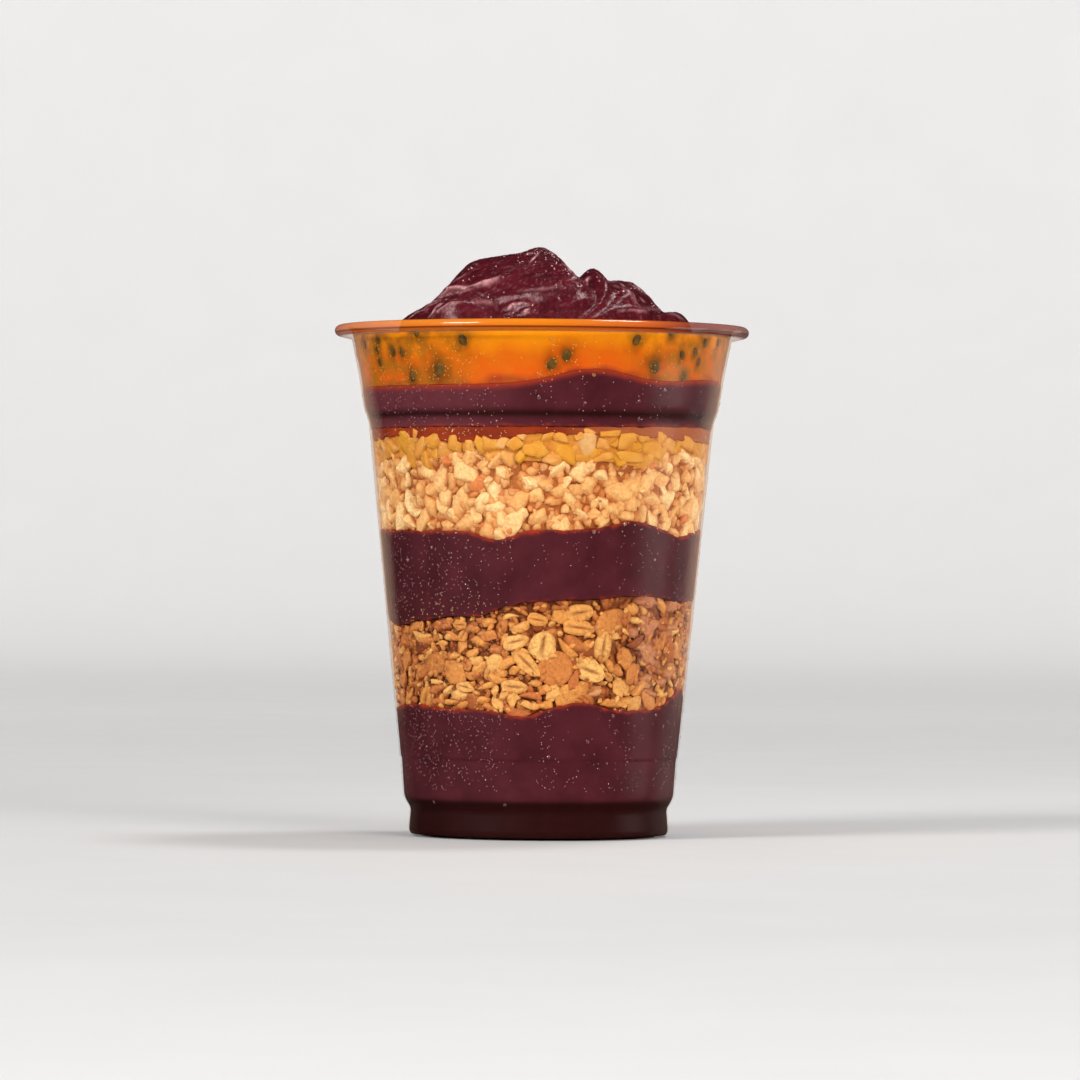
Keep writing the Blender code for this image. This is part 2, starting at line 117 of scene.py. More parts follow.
# Folds dragged by the spoon: start and end in the plan, bow, height, soft side, steep side
MOUND_FOLDS = [
    ((-33, -8), (-11, -13), 3.0, 1.9, 3.6, 0.9),
    ((-32, -13), (-17, -22), 2.0, 1.3, 3.0, 0.8),
    ((-30, -3), (-19, -5), 1.0, 1.4, 2.6, 0.8),
    ((9, -2), (23, -19), -3.0, 2.0, 3.6, 0.9),
    ((17, -2), (30, -13), -2.0, 1.9, 3.0, 0.8),
    ((27, -6), (33, -10), -1.0, 1.2, 2.4, 0.8),
    ((-12, -27), (14, -25), -4.0, 1.3, 3.5, 1.0),
    ((-4, 4), (8, -6), 2.0, 1.5, 3.0, 0.9),
    ((-24, 14), (2, 26), 4.0, 1.9, 3.6, 1.0),
    ((4, 12), (26, 18), -4.0, 1.8, 3.6, 1.0),
    ((-12, 8), (10, 20), 3.0, 1.3, 3.0, 0.9),
]

# Where the photo's frame lies: pixels to a millimetre at the cup's axis, the axis, the floor and the eye
PHOTO_SCALE = 4.2245
PHOTO_AXIS = 540.5
PHOTO_FLOOR = 835.8
PHOTO_MIDDLE = 540.0
PHOTO_LEAN = math.radians(0.40)
EYE_HEIGHT = 62.0
EYE_DISTANCE = 1480.0

# Granola that shows in front, in photo pixels: x, y, length, width, turn in degrees, kind, tone
GRANOLA_IN_FRONT = [
    (526, 663, 34, 16, -45, OAT, 0.75), (543, 646, 28, 27, 80, OAT, 0.9),
    (515, 642, 25, 14, 15, OAT, 0.85), (505, 663, 20, 10, 35, SLIVER, 0.6),
    (473, 662, 18, 9, 20, SLIVER, 0.85), (451, 672, 24, 22, -20, FLAKE, 0.55),
    (431, 665, 26, 23, 10, FLAKE, 0.5), (424, 655, 17, 4, 50, SLIVER, 0.8),
    (417, 636, 17, 6, -20, SLIVER, 0.85), (418, 646, 16, 13, 0, CLUSTER, 0.05),
    (471, 654, 14, 8, 30, SLIVER, 0.65), (452, 656, 13, 7, 15, SLIVER, 0.7),
    (514, 687, 26, 14, -5, OAT, 0.8), (496, 680, 18, 9, -5, SLIVER, 0.6),
    (499, 675, 14, 7, 10, SLIVER, 0.6), (463, 687, 17, 10, -15, OAT, 0.8),
    (446, 690, 14, 6, 40, SLIVER, 0.9), (456, 694, 12, 10, 0, CHIP, 0.85),
    (434, 701, 16, 12, 0, CLUSTER, 0.4), (434, 682, 12, 5, 0, SLIVER, 0.9),
    (435, 688, 19, 7, 20, SLIVER, 0.4), (405, 697, 18, 6, 70, SLIVER, 0.6),
    (413, 685, 16, 16, 0, CLUSTER, 0.4), (450, 702, 15, 6, 0, SLIVER, 0.6),
    (461, 705, 13, 7, 15, SLIVER, 0.55), (525, 704, 19, 7, -15, SLIVER, 0.8),
    (514, 711, 31, 10, -20, ALMOND, 0.3), (512, 700, 12, 8, 80, CHIP, 0.75),
    (530, 695, 24, 7, -5, SLIVER, 0.35), (534, 684, 15, 7, 0, SLIVER, 0.65),
    (537, 707, 12, 6, 20, SLIVER, 0.6), (503, 695, 11, 9, 0, CHIP, 0.75),
    (494, 692, 9, 6, 90, CHIP, 0.8), (439, 643, 12, 6, 0, SLIVER, 0.75),
    (410, 628, 13, 9, 20, CHIP, 0.5), (439, 625, 17, 13, 10, CLUSTER, 0.35),
    (458, 625, 13, 10, 0, OAT, 0.6), (509, 616, 16, 5, 10, SLIVER, 0.85),
    (488, 636, 21, 10, 10, FLAKE, 0.45), (460, 646, 12, 9, 80, CHIP, 0.6),
    (556, 669, 34, 33, 0, PUCK, 0.45), (591, 671, 29, 21, -20, OAT, 0.9),
    (605, 646, 30, 18, 85, OAT, 0.85), (615, 625, 35, 29, 20, PUCK, 0.5),
    (581, 613, 28, 17, 10, OAT, 0.7), (581, 628, 32, 14, -8, OAT, 0.65),
    (578, 646, 27, 13, -25, SLIVER, 0.4), (568, 650, 27, 8, -45, SLIVER, 0.6),
    (599, 693, 25, 15, 5, CLUSTER, 0.8), (582, 688, 21, 16, 15, FLAKE, 0.55),
    (554, 693, 18, 17, 70, FLAKE, 0.8), (574, 682, 22, 10, 75, FLAKE, 0.35),
    (613, 667, 16, 7, -65, SLIVER, 0.6), (627, 659, 20, 16, 60, FLAKE, 0.5),
    (635, 672, 21, 17, 70, FLAKE, 0.45), (621, 686, 20, 13, -60, FLAKE, 0.75),
    (628, 702, 24, 9, 10, SLIVER, 0.65), (649, 682, 20, 15, 10, CLUSTER, 0.7),
    (651, 701, 24, 9, -50, FLAKE, 0.5), (655, 694, 15, 12, 0, CLUSTER, 0.5),
    (657, 658, 30, 25, 60, CLUSTER, 0.45), (646, 647, 13, 12, 0, CLUSTER, 0.5),
    (638, 642, 18, 8, 35, ALMOND, 0.1), (637, 631, 15, 13, 0, CLUSTER, 0.35),
    (655, 624, 26, 22, 70, CLUSTER, 0.4), (650, 601, 21, 13, -15, CLUSTER, 0.3),
    (636, 609, 13, 10, 0, CHIP, 0.6), (641, 621, 15, 6, -15, SLIVER, 0.85),
    (667, 608, 18, 6, -60, SLIVER, 0.6), (676, 606, 12, 12, 0, CLUSTER, 0.3),
    (678, 626, 17, 15, 0, CLUSTER, 0.55), (672, 634, 14, 11, 80, CLUSTER, 0.4),
    (678, 632, 9, 5, 0, SLIVER, 0.9), (681, 647, 27, 13, 85, FLAKE, 0.45),
    (674, 672, 18, 15, 80, CLUSTER, 0.6), (665, 682, 10, 8, 0, CLUSTER, 0.4),
    (664, 693, 8, 5, 80, SLIVER, 0.8), (597, 627, 14, 12, 0, CLUSTER, 0.6),
    (560, 617, 18, 13, 10, FLAKE, 0.6), (538, 620, 20, 12, -10, OAT, 0.65),
    (520, 628, 20, 10, 20, SLIVER, 0.7), (475, 640, 16, 9, -15, SLIVER, 0.6),
    (480, 668, 16, 9, 20, CHIP, 0.7), (472, 676, 16, 9, 5, SLIVER, 0.5),
    (545, 706, 16, 8, 10, SLIVER, 0.6), (610, 703, 16, 7, -5, SLIVER, 0.5),
    (640, 689, 12, 9, 30, CHIP, 0.6), (590, 645, 12, 7, 40, CHIP, 0.5), (560, 690, 12, 8, 0, CHIP, 0.5),
    (480, 700, 18, 8, 10, SLIVER, 0.6), (487, 707, 15, 7, -15, SLIVER, 0.5),
    (420, 671, 12, 8, 30, CHIP, 0.4), (403, 660, 16, 9, 70, FLAKE, 0.5),
    (400, 680, 14, 8, 60, FLAKE, 0.45), (425, 641, 14, 8, 10, CHIP, 0.5),
    (450, 636, 14, 9, -20, FLAKE, 0.5), (470, 629, 16, 9, 0, CLUSTER, 0.45),
    (400, 640, 12, 9, 50, CLUSTER, 0.4), (495, 650, 14, 10, 10, CLUSTER, 0.4),
    (487, 622, 16, 8, 20, SLIVER, 0.6),
]

# Mango dice that show in front, in photo pixels: x, y, length, width, turn in degrees, tone
MANGO_IN_FRONT = [
    (403, 442, 27, 14, -70, 0.9), (418, 444, 17, 16, 40, 0.6), (432, 441, 19, 14, 20, 0.75),
    (453, 443, 15, 13, 60, 0.7), (466, 446, 13, 12, 10, 0.5), (478, 444, 14, 11, 80, 0.8),
    (492, 444, 21, 17, 5, 0.7), (501, 443, 12, 10, 70, 0.3), (514, 444, 15, 12, 30, 0.7),
    (530, 450, 17, 11, -10, 0.8), (539, 449, 14, 17, 20, 0.75), (565, 452, 26, 19, -15, 0.9),
    (590, 443, 22, 20, -50, 0.15), (605, 445, 12, 12, 0, 0.4), (612, 433, 20, 7, -5, 0.7),
    (605, 457, 18, 8, 0, 0.55), (629, 441, 20, 17, 5, 0.65), (633, 457, 27, 11, 0, 0.7),
    (648, 437, 13, 9, 30, 0.6), (655, 449, 20, 17, -30, 0.85), (666, 438, 13, 13, 15, 0.7),
    (674, 445, 12, 17, 80, 0.5), (688, 441, 11, 19, 80, 0.6), (697, 446, 9, 14, 80, 0.7),
    (387, 447, 14, 10, 60, 0.5), (560, 437, 16, 10, 5, 0.6), (580, 436, 10, 8, 30, 0.5),
    (548, 437, 12, 8, 0, 0.6),
]

# Seeds in the pulp: x, y in photo pixels and size in front, then azimuth, height and size behind
SEEDS_IN_FRONT = [
    (363, 345, 1.0), (376, 340, 0.8), (375, 350, 1.0), (378, 362, 0.9), (391, 351, 1.1),
    (400, 352, 1.0), (438, 370, 1.7), (411, 376, 1.2), (415, 332, 1.0), (462, 340, 1.3),
    (552, 364, 1.3), (567, 355, 1.3), (638, 340, 1.2), (656, 367, 1.6), (685, 377, 1.1),
    (673, 332, 1.0), (684, 355, 1.0), (697, 352, 1.0), (707, 343, 1.0), (720, 343, 0.9),
    (700, 362, 0.9),
]
SEEDS_BEHIND = [
    (84, 112, 1.3), (97, 115, 1.1), (112, 110.5, 1.5), (124, 114.5, 1.2), (139, 112.5, 1.6),
    (151, 116, 1.0), (166, 111.5, 1.3), (178, 115, 1.4), (-168, 110.5, 1.1), (-154, 113.5, 1.6),
    (-141, 116, 1.0), (-127, 111.5, 1.3), (-113, 114.5, 1.2), (-98, 110.5, 1.5), (-86, 113.5, 1.1),
]

# Larger drops on the wall, in photo pixels
LARGE_DROPS = [
    (594, 375), (539, 397), (539, 374), (639, 401), (639, 419), (552, 339), (665, 390), (625, 524),
    (594, 532), (499, 653), (521, 677), (499, 717), (520, 639), (616, 643), (620, 711), (656, 715),
    (613, 716), (434, 802), (549, 757), (430, 717), (452, 610), (466, 548), (655, 560), (408, 560),
    (588, 742), (505, 805),
]

# Creases on the mound's front, in photo pixels: points, height in mm, and how far it spreads above and below
MOUND_CREASES = [
    ([(436, 297), (449, 293), (462, 292), (476, 290), (490, 285), (501, 278)], 2.2, 2.4, 0.4),
    ([(400, 320), (412, 312), (425, 306), (437, 304), (450, 303), (463, 303)], 2.2, 0.45, 1.7),
    ([(428, 319), (436, 313), (444, 309), (456, 306), (470, 304)], 1.7, 0.5, 1.0),
    ([(404, 316), (416, 312), (428, 309), (440, 307)], 0.7, 0.4, 0.5),
    ([(449, 292), (455, 284), (461, 275)], 0.9, 0.7, 1.2),
    ([(457, 291), (466, 283), (474, 279)], 0.6, 0.6, 1.0),
    ([(592, 268), (600, 274), (606, 280), (616, 284), (626, 293), (637, 307)], 2.6, 0.7, 2.2),
    ([(589, 276), (585, 282), (580, 288)], 1.4, 0.8, 1.6),
    ([(562, 260), (567, 269), (575, 277)], 2.0, 0.5, 2.0),
    ([(612, 311), (628, 309), (645, 308), (665, 311)], 1.9, 0.5, 1.5),
    ([(634, 294), (638, 298), (643, 303)], 0.9, 0.6, 1.2),
    ([(644, 294), (650, 301), (657, 309)], 1.0, 0.7, 1.6),
    ([(503, 309), (514, 305), (525, 303), (533, 305)], 0.9, 0.7, 0.9),
    ([(519, 314), (526, 311), (532, 309)], 0.7, 0.5, 0.7),
    ([(490, 300), (520, 296), (550, 293), (580, 291)], 1.0, 2.2, 1.0),
    ([(560, 305), (580, 301), (600, 299)], 0.7, 1.2, 0.8),
    ([(660, 311), (670, 309), (678, 313)], 0.8, 0.6, 1.0),
]

# Pale strokes on the mound, partly frothy streaks that the spoon drew out and partly painted highlight along
# the ridges, in photo pixels: points, width in mm and strength
MOUND_STROKES_AND_HIGHLIGHTS = [
    ([(438, 297), (451, 292), (467, 290), (476, 289), (489, 286), (500, 279)], 0.29, 0.9),
    ([(436, 299), (452, 295), (470, 292)], 0.13, 0.6),
    ([(448, 291), (456, 283), (466, 275)], 0.26, 0.55),
    ([(443, 291), (450, 284), (456, 277)], 0.16, 0.45),
    ([(403, 318), (412, 311), (425, 306), (442, 303), (457, 300)], 0.21, 0.95),
    ([(429, 318), (440, 310), (451, 306), (465, 304)], 0.18, 0.8),
    ([(414, 314), (429, 309), (444, 305)], 0.10, 0.7),
    ([(408, 319), (418, 313), (430, 311)], 0.10, 0.6),
    ([(564, 262), (569, 273), (578, 277)], 0.31, 1.0),
    ([(594, 269), (602, 273), (610, 281)], 0.26, 0.95),
    ([(591, 279), (588, 283), (585, 287)], 0.23, 1.0),
    ([(606, 283), (617, 283), (627, 290), (632, 301), (640, 308)], 0.26, 0.9),
    ([(612, 287), (622, 291), (628, 299), (634, 306)], 0.18, 0.5),
    ([(613, 280), (621, 281)], 0.16, 0.8),
    ([(639, 298), (644, 303)], 0.21, 0.9),
    ([(628, 282), (640, 290), (648, 296), (655, 303), (660, 309)], 0.18, 0.8),
    ([(617, 312), (640, 311), (658, 311), (668, 312)], 0.18, 0.7),
    ([(625, 308), (640, 309), (655, 309)], 0.10, 0.5),
    ([(668, 313), (676, 315), (684, 320)], 0.26, 0.7),
    ([(508, 310), (515, 305), (523, 305)], 0.18, 0.9),
    ([(525, 313), (530, 310)], 0.21, 1.0),
    ([(529, 263), (534, 258), (540, 252)], 0.16, 0.7),
    ([(526, 254), (533, 253)], 0.26, 0.45),
    ([(474, 303), (484, 302), (494, 304)], 0.42, 0.3),
    ([(520, 292), (545, 291), (560, 288)], 0.42, 0.22),
]

# Seeds half sunk in the pulp's top: a place every so many degrees, and how far from the axis
SURFACE_SEED_TURN = 20
SURFACE_SEED_REACH = (38.8, 42.8)

# Kinds of granola away from the photo's side: kind, length, width
GRANOLA_KINDS = [(OAT, 6.6, 4.4), (SLIVER, 4.6, 2.0), (FLAKE, 5.6, 4.2), (CLUSTER, 5.8, 4.4),
                 (CHIP, 3.4, 2.5), (SLIVER, 5.6, 1.7), (PUCK, 7.6, 7.0), (OAT, 5.6, 3.4),
                 (CLUSTER, 4.4, 3.4), (CHIP, 4.0, 3.0)]

# Loose pieces strewn round the wall, the large ones first: spacing and how many at most
GRANOLA_ROUNDS = ((5.2, 120), (3.6, 130), (2.4, 130))
NUT_ROUNDS = ((4.3, 110), (3.1, 330), (2.1, 150))
MANGO_ROUNDS = ((3.4, 130), (2.2, 190))

# Condensation: upright bands of thick dew, which also paint in the light that catches the dew there, as
# (azimuth, width, weight), the wall's wet part, and counts
DEW_LIT_BANDS = [(-44, 7, 2.4), (-30, 7, 2.2), (-20, 3, 1.6), (-13, 3, 1.6), (2, 3, 1.6), (12, 2, 1.0),
             (-60, 9, 2.0), (40, 10, 0.8), (65, 8, 1.0), (100, 14, 1.6), (135, 10, 1.3), (170, 9, 2.0),
             (-100, 12, 1.5), (-140, 14, 1.6)]
DEW_THIN = 0.35
DEW_THICKEST = 3.2
WET_WALL = (11.5, 116.0)
DEW_COUNT = 6400
DROP_COUNT = 150
ICE_COUNT = 300

# The camera, in metres and in millimetres of film
CAMERA_LENS = 208.4
CAMERA_FILM = 36.0
CAMERA_X = -0.0001
CAMERA_AIM_HEIGHT = 0.07

LAMP_AIM = (0.0, 0.0, 0.08)
SEED = 11


# Shared shapes and helpers

def rounded(points, radius, steps=4):
    """A polyline with its inner corners turned into short curves."""
    made = [points[0]]
    for before, corner, after in zip(points, points[1:], points[2:]):
        before, corner, after = np.array(before), np.array(corner), np.array(after)
        back, ahead = before - corner, after - corner
        reach = min(radius, 0.45 * np.hypot(*back), 0.45 * np.hypot(*ahead))
        start = corner + back / np.hypot(*back) * reach
        end = corner + ahead / np.hypot(*ahead) * reach
        for i in range(steps + 1):
            t = i / steps
            made.append(tuple((1 - t) ** 2 * start + 2 * t * (1 - t) * corner + t * t * end))
    made.append(points[-1])
    return made


def arc(centre, radius, start, end, steps):
    turns = [math.radians(start + (end - start) * i / steps) for i in range(steps + 1)]
    return [(centre[0] + radius * math.cos(a), centre[1] + radius * math.sin(a)) for a in turns]


def outer_wall():
    """The outside of the wall from the foot's corner to under the rim, with its corners eased."""
    foot_corner = [(FOOT_RING_OUTER, 0.0), (WALL_CORNERS[0][0] - 0.3, 0.55)]
    return rounded(foot_corner + WALL_CORNERS, 1.2, 5)


WALL_CURVE = np.array(outer_wall())
WALL_HEIGHTS = np.maximum.accumulate(WALL_CURVE[:, 1]) + np.arange(len(WALL_CURVE)) * 1e-7


def wall_radius(height):
    """The cup's outside radius at a height."""
    return np.interp(height, WALL_HEIGHTS, WALL_CURVE[:, 0])


def boundary_height(boundary, azimuth, share):
    level, swells = boundary
    total = np.zeros_like(np.asarray(azimuth, dtype=float))
    for centre, width, height in swells:
        away = (azimuth - centre + 180.0) % 360.0 - 180.0
        total = total + height * np.exp(-((away / width) ** 2))
    return level + total * share * share


def on_wall(azimuth, height, radius):
    """Points from azimuth in degrees, height and radius, as rows of x, y, z in millimetres."""
    turn = np.radians(azimuth)
    return np.stack([radius * np.sin(turn), -radius * np.cos(turn), height], axis=-1)


def upright(px, py):
    """Millimetres across and up in the plane of the cup's axis, from a photo pixel."""
    dx, dy = px - PHOTO_MIDDLE, py - PHOTO_MIDDLE
    level_x = PHOTO_MIDDLE + dx * math.cos(PHOTO_LEAN) + dy * math.sin(PHOTO_LEAN)
    level_y = PHOTO_MIDDLE - dx * math.sin(PHOTO_LEAN) + dy * math.cos(PHOTO_LEAN)
    return (level_x - PHOTO_AXIS) / PHOTO_SCALE, (PHOTO_FLOOR - level_y) / PHOTO_SCALE


def seen_at_depth(px, py, towards):
    """Millimetres across and up at a distance in front of the axis."""
    across, up = upright(px, py)
    nearer = 1.0 - towards / EYE_DISTANCE
    return across * nearer, EYE_HEIGHT + (up - EYE_HEIGHT) * nearer


def seen_on_wall(px, py):
    """The azimuth and height of the place on the wall that shows at a photo pixel."""
    azimuth, height = 0.0, upright(px, py)[1]
    for _ in range(10):
        radius = float(wall_radius(height))
        across, height = seen_at_depth(px, py, radius * math.cos(azimuth))
        azimuth = math.asin(max(-1.0, min(1.0, across / radius)))
    return math.degrees(azimuth), height


def laid_on_wall(px, py, length, width, turn):
    """Azimuth, height, length, width and turn in millimetres and degrees of a thing seen on the wall."""
    azimuth, height = seen_on_wall(px, py)
    squeeze = max(math.cos(math.radians(azimuth)), 0.45)
    size = (1.0 - float(wall_radius(height)) / EYE_DISTANCE) / PHOTO_SCALE
    slant = math.radians(turn)
    along = (length * math.cos(slant) / squeeze, length * math.sin(slant))
    across = (width * math.sin(slant) / squeeze, width * math.cos(slant))
    return (azimuth, height, math.hypot(*along) * size, math.hypot(*across) * size,
            math.degrees(math.atan2(along[1], along[0])))


def grain(points, scale, seed=0.0):
    """Smooth noise from -1 to 1 at points in millimetres. scale is the size of a blob."""
    shift = Vector((seed * 17.3, seed * 5.1, seed * 9.7))
    flat = points.reshape(-1, 3) / scale
    values = [noise.noise(Vector(p) + shift) for p in flat.tolist()]
    return np.array(values).reshape(points.shape[:-1])


def smoothstep(low, high, value):
    t = np.clip((value - low) / (high - low), 0.0, 1.0)
    return t * t * (3 - 2 * t)


def bell(value, spot):
    """A soft bump of height 1 round a spot, given as its middle and width."""
    middle, width = spot
    return np.exp(-((value - middle) / width) ** 2)


def add_piece(name, points, faces, material, node, slot, smooth=True, tint=None):
    """Makes one piece of the visual model from points in millimetres."""
    mesh = bpy.data.meshes.new(name)
    mesh.from_pydata((np.asarray(points) * MM).tolist(), [], [list(face) for face in faces])
    if tint is not None:
        layer = mesh.color_attributes.new("tint", "FLOAT_COLOR", "POINT")
        layer.data.foreach_set("color", np.asarray(tint, dtype=np.float32).ravel())
    if smooth:
        mesh.shade_smooth()
    mesh.materials.append(material)
    mesh.validate()
    piece = bpy.data.objects.new(name, mesh)
    bpy.context.scene.collection.objects.link(piece)
    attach(piece, "root")
    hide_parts(node)
    return piece


def repeated(copies, faces):
    """Points and faces of many copies of one small shape."""
    each = len(copies[0])
    return np.concatenate(copies), np.concatenate([faces + each * i for i in range(len(copies))])


def ring_faces(rings, steps):
    """Faces of a drum with a point in the middle of its top and its bottom, and rings between."""
    faces = []
    last = 1 + rings * steps
    for i in range(steps):
        j = (i + 1) % steps
        faces.append((0, 1 + i, 1 + j))
        faces.append((last, last - steps + j, last - steps + i))
    for ring in range(rings - 1):
        base = 1 + ring * steps
        for i in range(steps):
            j = (i + 1) % steps
            faces.append((base + i, base + steps + i, base + steps + j, base + j))
    return faces


def capped(top, rings, bottom):
    """All points of a drum: the middle of its top, its rings, and the middle of its bottom."""
    return np.concatenate([[[0.0, 0.0, top]]] + rings + [[[0.0, 0.0, bottom]]])


def turned(name, profile, steps, material, node, slot):
    """A closed profile that starts and ends on the axis, swept round it."""
    azimuth = np.arange(steps) * 360.0 / steps
    inner = profile[1:-1]
    rings = [on_wall(azimuth, np.full(steps, z), np.full(steps, r)) for r, z in inner]
    points = capped(profile[0][1], rings, profile[-1][1])
    return add_piece(name, points, ring_faces(len(inner), steps), material, node, slot)


# Materials

class Nodes:
    """A short way to write a material's node tree."""

    def __init__(self, name):
        self.material = bpy.data.materials.new(name)
        self.material.use_nodes = True
        self.tree = self.material.node_tree
        self.shader = self.tree.nodes["Principled BSDF"]
        self.output = self.tree.nodes["Material Output"]

    def add(self, kind, inputs=None, **settings):
        node = self.tree.nodes.new(kind)
        for key, value in settings.items():
            setattr(node, key, value)
        for key, value in (inputs or {}).items():
            if isinstance(value, bpy.types.NodeSocket):
                self.tree.links.new(value, node.inputs[key])
            else:
                node.inputs[key].default_value = value
        return node

    def set(self, **values):
        for key, value in values.items():
            socket = self.shader.inputs[key.replace("_", " ")]
            if isinstance(value, bpy.types.NodeSocket):
                self.tree.links.new(value, socket)
            else:
                socket.default_value = value

    def place(self):
        return self.add("ShaderNodeTexCoord").outputs["Object"]

    def blobs(self, size_mm, detail=3.0, rough=0.55):
        """Noise whose blobs are about size_mm across."""
        node = self.add("ShaderNodeTexNoise", {"Vector": self.place(), "Scale": 1000.0 / size_mm,
                                               "Detail": detail, "Roughness": rough})
        return node.outputs["Fac"]

    def span(self, value, low, high, to_low=0.0, to_high=1.0):
        node = self.add("ShaderNodeMapRange", {"Value": value, "From Min": low, "From Max": high,
                                               "To Min": to_low, "To Max": to_high})
        return node.outputs["Result"]

    def ramp(self, value, stops):
        node = self.add("ShaderNodeValToRGB", {"Fac": value})
        elements = node.color_ramp.elements
        while len(elements) < len(stops):
            elements.new(0.5)
        for element, (position, colour) in zip(elements, stops):
            element.position = position
            element.color = (*colour, 1.0)
        return node.outputs["Color"]

    def mix(self, amount, first, second, blend="MIX"):
        node = self.add("ShaderNodeMix", data_type="RGBA", blend_type=blend)
        for index, value in ((0, amount), (6, first), (7, second)):
            if isinstance(value, bpy.types.NodeSocket):
                self.tree.links.new(value, node.inputs[index])
            elif index:
                node.inputs[index].default_value = (*value, 1.0)
            else:
                node.inputs[index].default_value = value
        return node.outputs[2]

    def by_height(self, low_mm, high_mm, to_low=0.0, to_high=1.0):
        """A value that changes between two heights above the table."""
        up = self.add("ShaderNodeSeparateXYZ", {"Vector": self.place()}).outputs["Z"]
        return self.span(up, low_mm * MM, high_mm * MM, to_low, to_high)

    def times(self, first, second):
        return self.add("ShaderNodeMath", {0: first, 1: second}, operation="MULTIPLY").outputs[0]

    def simple(self, kind, colour, **inputs):
        """A shader of one kind and colour."""
        return self.add("ShaderNodeBsdf" + kind, {"Color": (*colour, 1.0), **inputs}).outputs[0]

    def blend(self, amount, first, second):
        """A share of the second shader over the first."""
        return self.add("ShaderNodeMixShader", {0: amount, 1: first, 2: second}).outputs[0]

    def show(self, shader):
        self.tree.links.new(shader, self.output.inputs["Surface"])
        return self.material

    def tint(self):
        """The three numbers that a piece carries for each point."""
        colour = self.add("ShaderNodeAttribute", attribute_name="tint").outputs["Color"]
        split = self.add("ShaderNodeSeparateColor", {"Color": colour})
        return split.outputs

    def bump(self, height, distance_mm, strength=1.0):
        node = self.add("ShaderNodeBump", {"Height": height, "Distance": distance_mm * MM,
                                           "Strength": strength})
        self.tree.links.new(node.outputs["Normal"], self.shader.inputs["Normal"])


def srgb(red, green, blue):
    """A colour from 0 to 255 as the shader's linear values."""
    linear = []
    for value in (red, green, blue):
        share = value / 255.0
        linear.append(share / 12.92 if share <= 0.04045 else ((share + 0.055) / 1.055) ** 2.4)
    return tuple(linear)


def greys(*stops):
    """Stops of a ramp from (position, brightness) pairs."""
    return [(position, (value, value, value)) for position, value in stops]


def clear_wall():
    """The cup's plastic: clear, glossy, tan where it is seen edge on, partly its own tint and partly painted
    reflection, and amber at the rim, painted in for the orange pulp that shows through it, red-brown towards
    the right as painted reflection, with painted shade under the bead.
    """
    made = Nodes("clear_cup")
    facing = made.add("ShaderNodeLayerWeight", {"Blend": 0.5}).outputs["Facing"]
    # Partly the plastic's tint, partly painted reflection: a tan share that grows where the wall is seen edge
    # on
    edge_on = made.ramp(facing, greys((0.6, 0.0), (0.8, 0.3), (1.0, 0.9)))
    edge_tint_and_reflection = made.times(edge_on, made.by_height(*HAZE_GROWS, 0.12, 1.0))
    shine = made.ramp(facing, greys((0.0, 0.035), (0.7, 0.055), (1.0, 0.2)))
    shine = made.times(shine, made.by_height(*SHINE_GROWS, 0.35, 1.0))
    clear = made.simple("Transparent", (0.985, 0.98, 0.975))
    edge = made.simple("Diffuse", srgb(212, 178, 152))
    gloss = made.simple("Glossy", (1.0, 0.97, 0.95), Roughness=0.3)
    wall = made.blend(shine, made.blend(edge_tint_and_reflection, clear, edge), gloss)

    across = made.add("ShaderNodeSeparateXYZ", {"Vector": made.place()}).outputs["X"]
    along = made.span(across, -RIM_RADIUS * MM, RIM_RADIUS * MM)
    # Painted colour of the orange pulp that shows through the rim, red-brown towards the right as painted
    # reflection
    amber = made.ramp(along, [
        (0.0, srgb(204, 110, 60)), (0.2, srgb(218, 124, 38)), (0.5, srgb(216, 122, 20)),
        (0.74, srgb(198, 96, 36)), (0.86, srgb(124, 54, 42)), (1.0, srgb(142, 82, 68))])
    # Painted shade: dark under the bead and a dark line where the bead meets the wall
    shade = made.ramp(made.by_height(WALL_CORNERS[-1][1], CUP_HEIGHT), [
        (0.0, (0.4, 0.28, 0.22)), (0.16, (0.86, 0.7, 0.58)), (0.34, (0.8, 0.62, 0.5)),
        (0.43, (0.24, 0.14, 0.1)), (0.48, (0.3, 0.18, 0.14)), (0.55, (0.92, 0.8, 0.72)),
        (0.85, (1.0, 1.0, 1.0)), (1.0, (1.0, 0.98, 0.95))])
    made.set(Base_Color=made.mix(1.0, amber, shade, blend="MULTIPLY"), Roughness=0.12)
    rim = made.blend(RIM_BODY, clear, made.shader.outputs[0])
    whole = made.blend(made.by_height(*RIM_STARTS), wall, rim)
    behind = made.add("ShaderNodeNewGeometry").outputs["Backfacing"]
    return made.show(made.blend(behind, whole, clear))


def pressed_acai():
    """Acai against the wall. tint: red is how much fruit juice bleeds in, green how dark, with painted shade
    along the ledge, blue how pale, with painted reflection on the left under the ledge.
    """
    made = Nodes("acai_pressed")
    red, green, blue = made.tint()[:3]
    cloudy = made.span(made.blobs(7.0, 4.0), 0.3, 0.7)
    flesh = made.mix(cloudy, srgb(64, 22, 28), srgb(80, 31, 38))
    flesh = made.mix(blue, flesh, srgb(98, 44, 52))
    juicy = made.mix(red, flesh, srgb(152, 50, 28))
    made.set(Base_Color=made.mix(green, juicy, srgb(32, 8, 4)), Roughness=0.6, Specular_IOR_Level=0.05)
    made.bump(made.blobs(0.9, 4.0), 0.05, 0.5)
    return made.material


